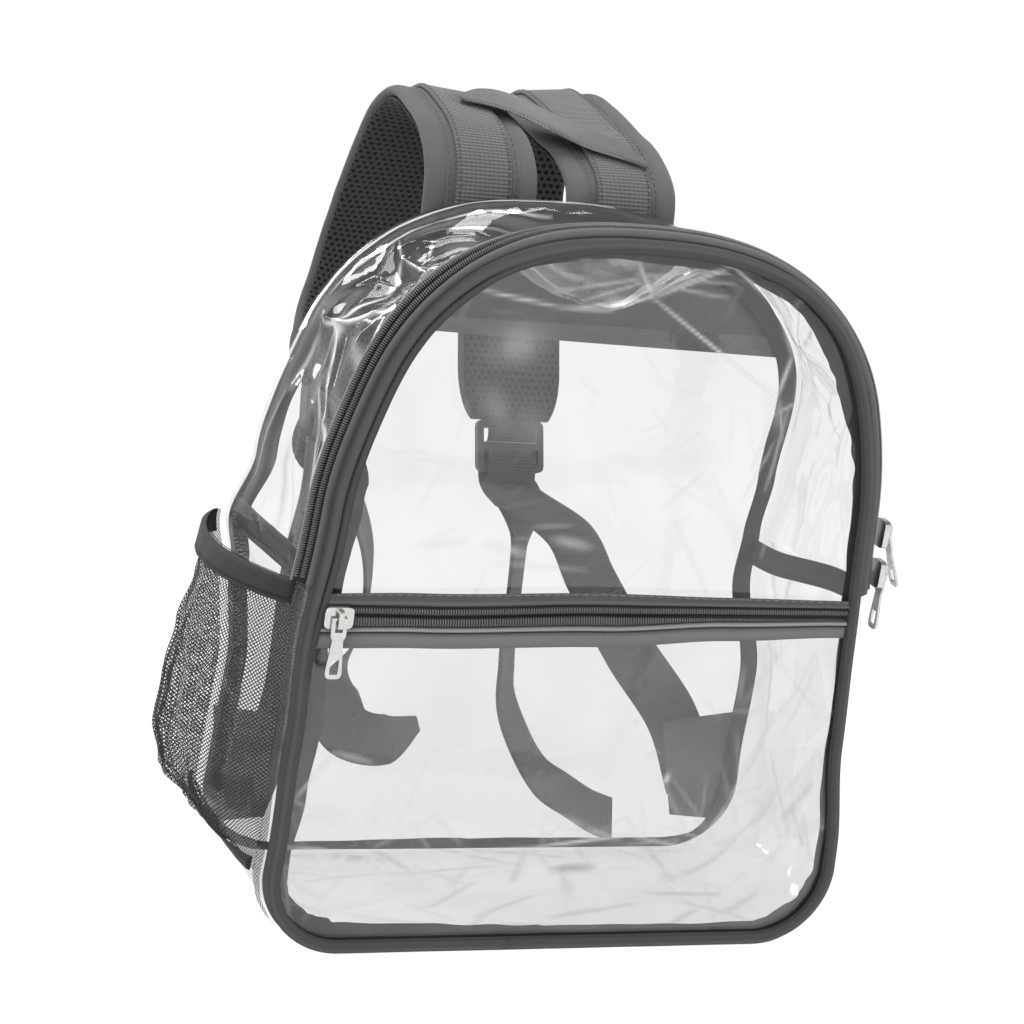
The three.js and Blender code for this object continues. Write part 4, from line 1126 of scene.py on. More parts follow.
# Folds of the gusset as (station, depth) and of the front as (x, z): start, end, width, height.
GUSSET_FOLDS = [
    ((34.15, 5), (30.85, 36), 1.8, 2.4),
    ((34.15, 5), (33.35, -13), 1.6, 2.4),
    ((33.35, -13), (32.05, -31), 1.5, 2.0),
    ((34.15, 5), (36.6, -16), 1.6, 2.4),
    ((36.6, -16), (38.4, -30), 1.6, 2.0),
    ((34.15, 5), (34.3, 38), 1.8, 2.0),
    ((34.15, 5), (35.6, 10), 2.0, 2.2),
    ((31.15, 24), (30.9, 3), 1.4, 2.0),
    ((30.9, 3), (30.2, -32), 1.4, 2.0),
    ((31.65, -5), (30.8, -33), 1.2, 1.8),
    ((30.8, 31), (30.0, 23), 1.4, 1.6),
    ((30.0, 23), (27.5, 20), 1.6, 1.6),
    ((32.9, 28), (31.3, 14), 1.6, -1.8),
    ((31.3, 14), (28.6, 8), 1.8, -1.8),
    ((28.4, -8), (25.4, -20), 2.0, 1.4),
    ((36.0, 30), (38.4, 38), 2.2, 1.8),
    ((37.2, 8), (38.7, -6), 2.0, -1.6),
    ((24.5, 30), (21.0, -10), 2.4, 1.8),
    ((22.5, -24), (18.5, 12), 2.2, 1.8),
    ((18.5, 12), (16.0, 36), 2.2, 1.5),
    ((17.0, -20), (14.5, 10), 2.2, 1.5),
]
PANEL_CREASES = [
    ((15, 266), (62, 222), 5, 1.6),
    ((62, 222), (88, 196), 4, 1.0),
    ((84, 262), (92, 170), 4, 1.2),
    ((20, 285), (60, 292), 3, 1.2),
    ((100, 240), (88, 200), 3, 1.2),
]
POCKET_CREASES = [
    ((55, 128), (100, 60), 6, 1.0),
    ((30, 90), (110, 30), 7, 0.9),
    ((-100, 120), (-60, 30), 7, 0.7),
]


# The shell.


def panel_grid(y, inset, low, high, rows, columns):
    """A grid of x and z across the outline between two heights."""
    z = np.linspace(low, high, rows)
    x = across_outline(z, y, inset, columns)
    return x, np.broadcast_to(z[:, None], x.shape)


def crease(x, z, start, end, width, height):
    """A straight fold: how far it lifts the sheet at (x, z)."""
    share, away = from_line(x, z, start, end)
    taper = np.sin(math.pi * (0.08 + 0.84 * share)) ** 0.5
    return height * taper * np.exp(-away / width)


def fold_line(s, y, start, end, width, height):
    """A fold of the gusset between two (station, depth) points, with its width in millimetres."""
    a = (start[0] * FOLD_STATION, start[1])
    b = (end[0] * FOLD_STATION, end[1])
    share, away = from_line(s * FOLD_STATION, y, a, b)
    taper = np.sin(math.pi * (0.1 + 0.8 * share)) ** 0.5
    return height * taper * np.exp(-((away / width) ** 1.3))


def front_sheet(clear):
    top = HEIGHT - 2
    x, z = panel_grid(FRONT_Y + 0.5, 1.7, 2, top, 230, 250)
    y = FRONT_Y + 0.9 - front_dome(x, z)
    for fold in PANEL_CREASES:
        y = y - crease(x, z, *fold)
    fade = smooth(z / 30) * smooth((top - z) / 20)
    y = y - 0.6 * waves(x, z, 4, 7, 70) * fade
    made = grid("front_panel_sheet", np.stack([x, y, z], -1))
    # Painted highlights along creases and painted shade streaks on the sheet, above the pocket only.
    stray = stray_crease_highlights(17, 34, (-85, 150), (85, 285), 22, 0.9, 0.22)
    set_painted_light(made, painted_light_lines(x, z, PANEL_PAINTED_STREAKS + stray) * (z > 140))
    add(made, clear, ["front_panel"])


def pocket_sheet(clear):
    x, z = panel_grid(FRONT_Y - 0.8, 1.7, 2, POCKET_SHEET_TOP, 130, 260)
    y = FRONT_Y - 0.4 - pocket_dome(x, z)
    for fold in POCKET_CREASES:
        y = y - crease(x, z, *fold)
    y = y - 0.7 * waves(x, z, 9, 7, 60) * smooth(z / 25) * smooth((POCKET_SHEET_TOP - z) / 15)
    made = grid("pocket_panel_sheet", np.stack([x, y, z], -1))
    # Painted highlights along creases and painted shade streaks on the pocket's sheet.
    stray = stray_crease_highlights(23, 60, (-115, 12), (115, 60), 24, 0.9, 0.3)
    stray += stray_crease_highlights(24, 16, (60, 40), (112, 130), 26, 1.0, 0.25)
    set_painted_light(made, painted_light_lines(x, z, POCKET_PAINTED_STREAKS + stray))
    add(made, clear, ["pocket_panel"])


def back_sheet(clear):
    top = 246
    x, z = panel_grid(BACK_Y, 0.2, 0.3, top, 120, 100)
    y = BACK_Y - 0.5 + 1.4 * waves(x, z, 21, 6, 80) * smooth(z / 30) * smooth((top - z) / 30) - 1.4
    made = grid("back_panel_sheet", np.stack([x, y, z], -1))
    add(made, clear, ["back_panel"])


def dent_at(share, y):
    across = np.clip((y - GUSSET_FRONT - 6) / (GUSSET_BACK - GUSSET_FRONT - 12), 0, 1)
    total = 0
    for around, middle, sink, span_around, span_across in GUSSET_DENTS:
        a = (share - around) / span_around
        c = (across - middle) / span_across
        total = total - sink * np.exp(-a * a - c * c)
    return total * np.sin(math.pi * across)


def upper_gusset(clear):
    right = np.linspace(RIGHT_JOINT, TOP_STATION, 170)[:-1]
    s = np.concatenate([right, np.linspace(TOP_STATION, LEFT_JOINT, 400)])
    share = np.linspace(0, 1, 125)[None, :]
    spread = left_spread(s)[:, None]
    y0 = lerp(REAR_FRONT + 0.2, -44.0, spread)
    y = y0 + (GUSSET_BACK - y0) * share
    lead = lerp(3.6, 7.4, spread) * (1 - smooth((y - y0) / lerp(7.0, 17.0, spread)))
    around = ((s - RIGHT_JOINT) / (LEFT_JOINT - RIGHT_JOINT))[:, None]
    run = run_along(skin(s, 0, 0))[:, None]
    edge = np.sin(math.pi * share) ** 0.6
    low, high = (-20, -60), (run[-1, 0] + 20, 80)
    crumple = facets(run, y, 3, 30, low, high) * 2.4
    crumple += facets(run, y, 8, 13, low, high) * 0.9
    crumple += 1.8 * waves(run, y, 5, 6, 55) + 1.2 * waves(run * 0.2, y, 6, 5, 16)
    for fold in GUSSET_FOLDS:
        crumple += fold_line(s[:, None], y, *fold)
    outset = dent_at(around, y) + lead + (crumple - 2.2) * edge
    points = skin(s[:, None], y, outset)
    made = grid("upper_gusset_sheet", points)
    # Painted highlights along the folds and painted shade in the dents of the gusset.
    long = STREAK_STATION
    rows = [((a[0] * long, a[1]), (b[0] * long, b[1]), w, t) for a, b, w, t in GUSSET_PAINTED_STREAKS]
    sway = 1.2 * waves(run, y, 7, 4, 40)
    set_painted_light(made, painted_light_lines(s[:, None] * long + sway, y + sway, rows))
    add(made, clear, ["upper_gusset"])


def lower_gusset(clear):
    s = np.linspace(LEFT_JOINT, STATIONS + RIGHT_JOINT, 360)
    y = np.linspace(FLAP_FRONT, GUSSET_BACK, 70)
    run = run_along(skin(s, 0, 0))
    along, deep = np.meshgrid(run, y, indexing="ij")
    edge = np.sin(math.pi * np.clip((deep - y[0]) / (y[-1] - y[0]), 0, 1)) ** 0.7
    low, high = (-20, -60), (run[-1] + 20, 80)
    crumple = facets(along, deep, 13, 34, low, high) * 2.2 + 1.2 * waves(along, deep, 15, 6, 60)
    outset = -0.5 + (crumple - 1.8) * edge
    points = skin(s[:, None], deep, outset)
    points[..., 2] = np.maximum(points[..., 2], 0.4)
    made = grid("lower_gusset_sheet", points)
    # Painted highlight lines of stray creases on the lower gusset.
    stray = stray_crease_highlights(41, 70, (0, -44), (run[-1], 46), 40, 1.3, 0.4)
    set_painted_light(made, painted_light_lines(along, deep, stray))
    add(made, clear, ["lower_gusset"])


# The front binding's width at stations, in millimetres.
BINDING_WIDTHS = [
    (0, 5.2),
    (13, 4.9),
    (20, 5.0),
    (26, 5.3),
    (29, 6.2),
    (32, 8.0),
    (38.4, 8.0),
    (40.5, 5.2),
    (52, 5.2),
]

# How far the seam allowance reaches inward at stations, in millimetres.
SEAM_INSETS = [
    (0.0, 8.6),
    (2.3, 8.6),
    (5.5, 10.4),
    (9.1, 8.9),
    (10.0, 7.4),
    (12.1, 6.8),
    (13.6, 7.8),
    (14.4, 8.5),
    (15.3, 8.6),
    (16.5, 9.8),
    (17.5, 12.1),
    (19.8, 12.0),
    (21.4, 9.8),
    (23.8, 9.2),
    (26.0, 8.6),
    (29.8, 8.0),
    (31.1, 7.0),
    (36.2, 7.0),
    (36.8, 8.8),
    (37.1, 11.7),
    (37.4, 14.4),
    (38.0, 14.4),
    (38.4, 13.0),
    (39.9, 12.9),
    (40.5, 14.0),
    (42.0, 12.6),
    (42.7, 9.6),
    (43.7, 9.6),
    (46.0, 11.5),
    (48.1, 13.5),
    (50.0, 10.8),
    (52.0, 8.6),
]
ALL = np.linspace(0, STATIONS, 721)[:-1]
UPPER = np.linspace(RIGHT_JOINT, LEFT_JOINT, 560)


def front_binding(tape, sewing):
    face = FRONT_Y - 3.3
    spread = left_spread(ALL) * (1 - smooth((ALL - 38.6) / 1.2))
    wide = eased(BINDING_WIDTHS, 1, ALL)[:, None]
    double = smooth((wide - 5.6) / 2.0)
    u = np.linspace(0.06, 1, 26)[None, :]
    line = 0.6
    groove = 0.9 * ridge(u, line, 0.055) * double
    low_crown = 0.55 * np.sin(math.pi * np.clip(u / line, 0, 1)) ** 0.8
    high_crown = 0.3 * np.sin(math.pi * np.clip((u - line) / (1 - line), 0, 1)) ** 0.8
    single = 0.75 * np.sin(math.pi * u) ** 0.7
    crown = lerp(single, low_crown + high_crown, double)
    wobble = 0.16 * waves(ALL * 20, ALL * 0, 12, 5, 22)[:, None]
    front_y = face + 0.35 + groove - crown + wobble
    shift = -3.0 * spread[:, None]
    ones = np.ones((len(ALL), 1))
    lead = [(BINDING_BACK + shift, 0.0 * ones), (face + 2.9 * ones, 0.0 * ones)]
    lead += [(face + 1.5 * ones, 0.0 * ones), (face + 0.7 * ones, -0.15 * ones)]
    tail = [(face + 0.9 * ones, -wide - 0.25), (face + 2.2 * ones, -wide - 0.25)]
    tail += [(face + 2.2 * ones, -1.6 * ones), (BINDING_BACK + shift, -1.6 * ones)]
    y = np.concatenate([a for a, _ in lead] + [front_y] + [a for a, _ in tail], 1)
    out = np.concatenate([b for _, b in lead] + [-u * wide] + [b for _, b in tail], 1)
    points = skin(ALL[:, None], y, out)
    made = grid("front_binding_tape", points, ring_u=True, ring_v=True)
    first, last = len(lead), len(lead) + u.size
    # Painted shade in the stitch groove, along the inner edge and on the hidden sides, a painted
    # highlight along the crown, and darker at the lap.
    shade = np.zeros(points.shape[:2])
    shade[:, first:last] = -0.75 * ridge(u, line, 0.05) * double
    shade[:, first:last] += 0.16 * ridge(u, 0.3, 0.16) - 0.35 * smooth((u - 0.86) / 0.14)
    shade[:, :first] = -0.55
    shade[:, last:] = -0.5
    shade += (-0.5 * ridge(ALL, BINDING_LAP, 0.03))[:, None]
    set_painted_light(made, shade)
    add(sharpen(made, 60), tape, ["front_binding"])
    path = skin(np.linspace(29, 38.5, 500), face + 1.0, -4.9)
    normals = np.tile(FORWARD, (len(path), 1))
    add(dashes("front_binding_stitches", path, normals, 2.6, 1.9, 0.2), sewing)


def seam_allowance(tape):
    """The raw inner edge of the seam, ragged along its free side."""
    s = ALL
    keys = [row[0] for row in SEAM_INSETS]
    values = [row[1] for row in SEAM_INSETS]
    ragged = waves(s * 10, s * 0, 31, 9, 8) * 0.9 + waves(s * 10, s * 0, 32, 7, 24) * 0.8
    inner = np.interp(s, keys, values) + ragged
    shares = np.linspace(0, 1, 13)
    outset = -(1.7 + (inner[:, None] - 1.7) * shares[None, :])
    ripple = 0.35 * waves(s[:, None] * 9, shares[None, :] * 12, 33, 7, 16)
    y = np.full(outset.shape, FRONT_Y + 2.0) + ripple
    points = skin(s[:, None], y, outset)
    add(grid("seam_allowance", points, ring_u=True), tape, ["front_seam_tape"])


def rolled_profile(rows):
    """Zip profiles for each station, between the right hand form and the rolled left hand one."""
    rows = np.asarray(rows, float)
    spread = left_spread(UPPER)[:, None]
    y = lerp(rows[None, :, 0], rows[None, :, 2], spread)
    out = lerp(rows[None, :, 1], rows[None, :, 3], spread)
    return y, out


def back_binding(tape):
    s = ALL
    wave = waves(s * 10, s * 0, 41, 7, 25) + 0.6 * waves(s * 10, s * 0, 42, 7, 9)
    shares = np.linspace(0, 1, 11)
    low = smooth((9 - s) / 4) + smooth((s - 43) / 3)
    width = 8.4 - 4.2 * np.clip(low, 0, 1) + 0.9 * wave
    outset = -(1.4 + width[:, None] * shares[None, :])
    crown = 0.7 * np.sin(math.pi * shares[None, :]) + 0.25 * wave[:, None]
    front = skin(s[:, None], BACK_Y - 2.6 - crown, outset)
    rear = skin(s[:, None], np.full(outset.shape, BACK_Y - 1.9), outset)
    points = np.concatenate([front, rear[:, ::-1]], 1)
    made = grid("back_binding_tape", points, ring_u=True, ring_v=True)
    add(sharpen(made, 60), tape, ["back_binding"])


def outward(rows, s):
    """Unit directions, each turned to point away from the bag at its station."""
    rows = unit(rows)
    away = skin(s, -40.0, 1.0) - skin(s, -40.0, 0.0)
    return rows * np.sign((rows * away).sum(-1, keepdims=True))


def main_zip(tape, light_tape, coil):
    lift = 0.25 * waves(UPPER * 12, UPPER * 0, 51, 7, 40)
    f = FLAP_FRONT
    flap_rows = [
        (f, -0.8, -48.8, -1.4),
        (f - 0.6, 0.3, -50.9, -0.7),
        (f + 0.6, 1.2, -51.1, 0.3),
        (f + 1.6, 2.0, -51.0, 1.2),
        (f + 2.8, 2.8, -50.6, 2.1),
        (f + 3.9, 3.2, -50.1, 2.8),
        (f + 4.4, 2.9, -49.4, 2.9),
        (f + 4.4, 2.1, -49.1, 2.2),
        (f + 3.4, 1.7, -49.3, 1.3),
        (f + 1.8, 0.8, -49.6, 0.3),
    ]
    # Painted light across the flap: painted shade on its turned under faces and a painted highlight on
    # its crown.
    flap_painted_light = [-0.7, -0.6, -0.15, 0.0, 0.1, 0.22, 0.1, -0.6, -0.7, -0.7]
    y, out = rolled_profile(flap_rows)
    out[:, 2:7] += lift[:, None]
    flap = grid("main_zip_flap_tape", skin(UPPER[:, None], y, out), ring_v=True, caps=True)
    set_painted_light(flap, np.tile(flap_painted_light, (len(UPPER), 1)))
    add(flap, tape, ["main_zip_flap"])

    front, rear = coil_edges(UPPER)
    out = outward(np.cross(np.gradient(front, axis=0), rear - front), UPPER)
    shares = [0.0, 0.0, 0.25, 0.5, 0.75, 1.0, 1.0]
    lifts = [-0.7, 0.0, 0.0, -0.2, 0.0, 0.0, -0.7]
    rows = [lerp(front, rear, share) + out * lift for share, lift in zip(shares, lifts)]
    bed = grid("main_zip_bed", np.stack(rows, 1), ring_v=True, caps=True)
    # The bed under the coil is painted in shade, where only shade shows between the coil rows.
    set_painted_light(bed, np.full((len(UPPER), len(rows)), -0.8))
    add(bed, tape)
    add(zip_teeth("main_zip_teeth", 1.0), coil, ["main_zip_coil"])

    r = REAR_FRONT
    rear_rows = [
        (r - 0.2, 2.2, -44.5, 6.4),
        (r - 0.2, 3.3, -44.6, 7.3),
        (r + 0.8, 3.5, -43.8, 7.6),
        (r + 1.9, 2.9, -42.9, 7.2),
        (r + 2.0, 2.2, -43.0, 6.4),
    ]
    y, out = rolled_profile(rear_rows)
    rear = grid("main_zip_rear_edge", skin(UPPER[:, None], y, out), ring_v=True, caps=True)
    # Painted highlight along the rolled edge's crown and painted shade at its sides.
    set_painted_light(rear, np.tile([-0.3, 0.0, 0.3, 0.1, -0.3], (len(UPPER), 1)))
    add(rear, light_tape, ["main_zip_rear_tape"])


def coil_edges(s):
    """The coil's front and rear edges at stations of the outline."""
    spread = left_spread(s)
    front = skin(s, lerp(COIL_FRONT - 1.0, -49.0, spread), lerp(2.6, 2.9, spread))
    rear = skin(s, lerp(COIL_FRONT + 5.7, -44.5, spread), lerp(2.8, 6.9, spread))
    return front, rear


def tooth(centre, along, across, out, pitch, half, height):
    """One coil tooth, an arched bar from the middle of the zip to the row's edge."""
    points = []
    for share, lift, size in (
        (0.0, 0.3, 0.8),
        (0.2, 0.9, 1.0),
        (0.6, 1.0, 1.0),
        (0.88, 0.75, 0.95),
        (1.0, 0.1, 0.8),
    ):
        middle = centre + across * half * share + along * pitch * 0.12 * share + out * height * lift
        for a, b in ((-0.3, -1.0), (-0.3, 0.1), (0.0, 0.5), (0.3, 0.1), (0.3, -1.0)):
            points.append(middle + along * pitch * a * size + out * height * 0.45 * b * size)
    return points


# The pocket zip's edges from its top to its foot, in millimetres, at shares of its length.
POCKET_ZIP_ROWS = [
    (0.0, 155.6, 150.6, 147.0, 140.6, 139.4, 132.6),
    (0.18, 156.9, 151.2, 147.3, 141.8, 140.5, 133.7),
    (0.52, 159.2, 154.1, 150.2, 144.4, 142.9, 136.0),
    (0.76, 158.4, 154.3, 150.6, 147.2, 145.6, 139.4),
    (1.0, 157.6, 154.2, 150.6, 148.0, 146.6, 141.2),
]


def pocket_places():
    left = float(side_x(POCKET_ZIP, FRONT_Y, -1, 5.4))
    right = float(side_x(POCKET_ZIP, FRONT_Y, 1, 5.4))
    x = np.linspace(left, right, 320)
    return x, (x - left) / (right - left)


def pocket_depth(x):
    """The depth of the pocket zip's face."""
    return FRONT_Y - 1.6 - pocket_dome(x, POCKET_ZIP_BACK)


def pocket_strip(name, low, high, thick, tape, node, painted_light_rows, count=15):
    """A band across the pocket between two columns of POCKET_ZIP_ROWS, moved by an offset each."""
    x, share = pocket_places()
    bottom = eased(POCKET_ZIP_ROWS, low[0], share) + low[1]
    top = eased(POCKET_ZIP_ROWS, high[0], share) + high[1]
    across = np.linspace(0, 1, count)
    heights = lerp(bottom[:, None], top[:, None], across[None, :])
    back = FRONT_Y - 1.1 - pocket_dome(x, POCKET_ZIP_BACK)[:, None]
    rise = thick * (0.4 + 0.6 * soft_edge(across, 0, 1, 0.12))[None, :]
    # Each given row (place, width, lift, strength) raises a ridge and paints light on it: a painted
    # highlight above 0 and painted shade below 0.
    tone = np.zeros((len(x), count))
    for place, width, lift, strength in painted_light_rows:
        line = ridge(across, place, width)[None, :]
        rise = rise + lift * line
        tone = tone + strength * line
    wobble = 0.12 * waves(x, x * 0, 61 + low[0], 6, 35)
    front = np.stack([np.tile(x[:, None], (1, count)), back - rise - wobble[:, None], heights], -1)
    rear = front[:, ::-1].copy()
    rear[..., 1] = back
    made = closed_band(name, front, rear)
    # The band's back face is painted in shade.
    set_painted_light(made, np.concatenate([tone, tone[:, ::-1] * 0 - 0.5], 1))
    return add(made, tape, [node] if node else [])


def teeth_mesh(name, rows):
    points, faces = [], []
    for row in rows:
        faces += tube_faces(len(points), len(row) // TOOTH_SIDES, TOOTH_SIDES)
        points += row
    return mesh_object(name, points, faces)


def zip_teeth(name, pitch):
    fine = np.linspace(RIGHT_JOINT + 0.05, LEFT_JOINT - 0.05, 3000)
    front, rear = coil_edges(fine)
    run = run_along((front + rear) / 2)
    count = int(run[-1] / pitch)
    at = np.interp((np.arange(count) + 0.5) * pitch, run, fine)
    front, rear = coil_edges(at)
    ahead = sum(coil_edges(at + 0.02)) / 2
    behind = sum(coil_edges(at - 0.02)) / 2
    along = unit(ahead - behind)
    across = rear - front
    half = np.linalg.norm(across, axis=-1, keepdims=True) / 2
    across = across / (2 * half)
    out = outward(np.cross(along, across), at)
    centre = (front + rear) / 2
    rows = []
    for i in range(count):
        for side in (-1, 1):
            start = centre[i] + along[i] * 0.25 * pitch * side + across[i] * 0.3 * side
            reach = half[i, 0] - 0.6
            rows.append(tooth(start, along[i], across[i] * side, out[i], pitch, reach, 1.5))
    return teeth_mesh(name, rows)


def pocket_teeth(x, share):
    """The two rows of teeth on either side of the pocket zip's middle."""
    centre_z = eased(POCKET_ZIP_ROWS, 3, share)
    top_z = eased(POCKET_ZIP_ROWS, 2, share) - 0.5
    low_z = eased(POCKET_ZIP_ROWS, 4, share) + 1.2
    depth = pocket_depth(x)
    pitch = 1.1
    split = 0.75
    out = np.array(FORWARD)
    along = np.array([1.0, 0.0, 0.0])
    rows = []
    for i in range(int((x[-1] - x[0]) / pitch)):
        at = x[0] + (i + 0.5) * pitch
        middle = np.interp(at, x, centre_z)
        for side, edge_z in ((-1, low_z), (1, top_z)):
            reach = abs(np.interp(at, x, edge_z) - middle) - split
            start_x = at + 0.25 * pitch * side
            start = np.array([start_x, np.interp(at, x, depth), middle + split * side])
            across = np.array([0.0, 0.0, side])
            rows.append(tooth(start, along, across, out, pitch, reach, 1.2))
    return teeth_mesh("pocket_zip_teeth", rows)


def pocket_zip(tape, light_tape, coil, sewing):
    # Rows of place, width, lift and painted light: painted shade at the seams and in the bed, painted
    # highlights on the crowns and the ridge.
    upper = [(0.06, 0.06, 0, -0.7), (0.3, 0.12, 0.3, 0.2), (0.88, 0.08, 0, -0.1)]
    pocket_strip("pocket_zip_upper_cloth", (2, 0.2), (1, 0), 1.5, tape, "pocket_zip_upper_tape", upper)
    lower = [(1.0, 0.07, 0, -0.75), (0.84, 0.05, 0, -0.3), (0.55, 0.3, 0, 0.08)]
    name = "pocket_zip_lower_tape"
    pocket_strip("pocket_zip_lower_cloth", (6, 0), (5, 0), 0.9, light_tape, name, lower)
    welt = [(0.5, 0.3, 0.5, 0.45), (0.0, 0.2, 0, -0.6)]
    pocket_strip("pocket_zip_ridge", (5, 0.1), (4, 0.9), 1.3, light_tape, "", welt, 9)
    bed = [(0.5, 0.07, 0, -0.3), (0.5, 2.0, 0, -0.7)]
    pocket_strip("pocket_zip_bed", (4, 0.6), (2, 0.4), 0.5, tape, "", bed)
    x, share = pocket_places()
    add(pocket_teeth(x, share), coil, ["pocket_zip_coil"])
    depth = pocket_depth(x)
    normals = np.tile(FORWARD, (len(x), 1))
    top = eased(POCKET_ZIP_ROWS, 1, share) - 0.35
    path = np.stack([x, depth - 0.75, top], -1)
    add(dashes("pocket_zip_stitches", path, normals, 4.1, 2.9, 0.26), sewing)
    low = eased(POCKET_ZIP_ROWS, 5, share) - 0.9
    path = np.stack([x, depth - 0.4, low], -1)
    add(dashes("pocket_zip_lower_stitches", path, normals, 3.0, 2.0, 0.2), sewing)


def joint_band(side, sag, name, node, tape):
    """The seam tape across the gusset at a zip end, lower by its sag towards the back."""
    low, high = ZIP_END - 5.5, ZIP_END + 5.5
    y = np.linspace(FLAP_FRONT, BACK_Y - 3.8, 60)
    heights = np.linspace(low, high, 13)
    edge = soft_edge(heights, low, high, 1.2)
    stitch = ridge(heights - ZIP_END, 2.6, 0.4) + ridge(heights - ZIP_END, -2.6, 0.4)
    inset = 1.7 + 0.2 * (1 - edge) + 0.45 * stitch
    outer = np.zeros((len(y), len(heights), 3))
    for row, depth in enumerate(y):
        lower = sag * smooth((depth + 40) / 90)
        outer[row, :, 0] = side_x(heights - lower, depth, side) - side * inset
        outer[row, :, 1] = depth
        outer[row, :, 2] = heights - lower
    outer[..., 2] += 0.5 * waves(outer[..., 1], outer[..., 2] * 0, 71, 5, 40)
    inner = outer[:, ::-1].copy()
    inner[..., 0] -= side * 1.3
    add(closed_band(name, outer, inner), tape, [node])


def yoke(cloth, sewing):
    z = np.linspace(240, BACK_HEIGHT - 1.2, 60)
    columns = 110
    x = across_outline(z, BACK_Y + 0.3, 0.3, columns)
    heights = np.broadcast_to(z[:, None], x.shape).copy()
    heights -= 4 * np.linspace(0, 1, columns)[None, :] * smooth((262 - heights) / 22)
    puff = 0.5 * waves(x, heights, 81, 6, 50)
    front = np.stack([x, np.full(x.shape, BACK_Y + 0.45), heights], -1)
    rear = np.stack([x, BACK_Y + 1.7 + 0.25 * puff, heights], -1)
    made = grid("back_yoke_cloth", np.concatenate([front, rear[::-1]], 0), ring_u=True)
    add(sharpen(made, 70), cloth, ["back_yoke"])
    count = 300
    path = np.zeros((count, 3))
    path[:, 0] = np.linspace(x[0, 0] + 3, x[0, -1] - 3, count)
    path[:, 1] = BACK_Y + 1.85
    path[:, 2] = lerp(243.5, 239.5, np.linspace(0, 1, count))
    normals = np.tile([0.0, 1.0, 0.0], (count, 1))
    add(dashes("back_yoke_stitches", path, normals, 3.2, 2.2, 0.3), sewing)


# Straps and webbing.


def strap_narrowing(ribbon):
    """How a pad narrows to its rounded lower end, as a share of its width."""
    end = np.minimum(1, (ribbon.left() + 3) / 27)
    return lerp(0.56, 1.0, np.sqrt(np.clip(1 - (1 - end) ** 2, 0, 1)))[:, None]


def strap_pad(name, seed, ribbon, cloth, sewing):
    w = STRAP_WIDTH / 2
    half = np.array([0, 1.2, 2.6, 4, 6, 8, 8.7, 9.3, 10, 11.5, 12.3, 13, 14, 19, w])
    sides = np.concatenate([half - w, (w - half)[:-1][::-1]])
    inward = w - np.abs(sides)
    edge = np.minimum(1, inward / 3.5) ** 0.5
    height = 0.8 + 2.0 * edge - ridge(inward, 8.9, 0.55) * 1.1
    height = height - 0.25 * (inward < 8.5)
    puff = 0.3 * waves(ribbon.t[:, None] * ribbon.length, sides[None, :], seed, 7, 28)
    end = smooth(ribbon.left() / 5)
    thick = (height[None, :] + puff * edge[None, :]) * (0.4 + 0.6 * end[:, None])
    narrow = strap_narrowing(ribbon)
    upper = ribbon.points(sides[None, :] * narrow, thick)
    lower = ribbon.points(sides[None, ::-1] * narrow, -thick[:, ::-1])
    made = grid(f"strap_pad_{name}_cloth", np.concatenate([upper, lower], 1), ring_v=True, caps=True)
    add(made, cloth, [f"strap_pad_{name}"])
    for part, place in (("outer", -w + 10.2), ("inner", w - 10.2)):
        path = ribbon.points(place * narrow, np.full((len(ribbon.t), 1), 2.75))[:, 0]
        seam = dashes(f"strap_{name}_{part}_stitches", path[2:-6], ribbon.face[2:-6], 3.4, 2.4, 0.24)
        add(seam, sewing)


def strap_lining(name, ribbon, mesh_cloth):
    first = int(3 / 25 * (len(ribbon.t) - 1))
    narrow = strap_narrowing(ribbon)
    half = 24
    profile = np.linspace(-half, half, 31)
    edge = np.minimum(1, (half - np.abs(profile)) / 2.5) ** 0.5
    outer = -3.3 - 0.3 - 1.1 * edge + 0 * narrow
    face = ribbon.points(profile[None, :] * narrow, outer)[first:]
    back = ribbon.points(profile[None, ::-1] * narrow, np.full(outer.shape, -3.1))[first:]
    made = grid(f"strap_lining_{name}_mesh", np.concatenate([face, back], 1), ring_v=True, caps=True)
    add(made, mesh_cloth, [f"strap_lining_{name}"])


def flat_band(node, ribbon, low, high, material):
    """A length of webbing along a ribbon, which replaces its CAD node."""
    profile = band_profile(WEBBING / 2, low, high)
    points = ribbon.points(profile[:, 0], profile[:, 1])
    made = grid(f"{node}_band", points, ring_v=True, caps=True)
    return add(sharpen(made, 70), material, [node])


def strap_webbing(name, ribbon, webbing, sewing):
    flat_band(f"strap_webbing_{name}", ribbon, 3.15, 4.9, webbing)
    for part, place in (("outer", -11.2), ("inner", 11.2)):
        path = ribbon.points([place], [4.95])[:, 0]
        seam = dashes(f"webbing_{name}_{part}_stitches", path[2:-2], ribbon.face[2:-2], 3.0, 2.1, 0.26)
        add(seam, sewing)


def ladder_place(ribbon):
    """The ladder lock's middle, and which way it runs, lies flat and faces."""
    centre = ribbon.centre[-1] + ribbon.along[-1] * (LADDER_LENGTH / 2 + GAP)
    return centre, ribbon.along[-1], ribbon.flat[-1], ribbon.face[-1]


def steps_from(start, rows):
    scale = np.array([BOTTOM_HALF, DEPTH, HEIGHT])
    return [start + np.array(row) * scale for row in rows]


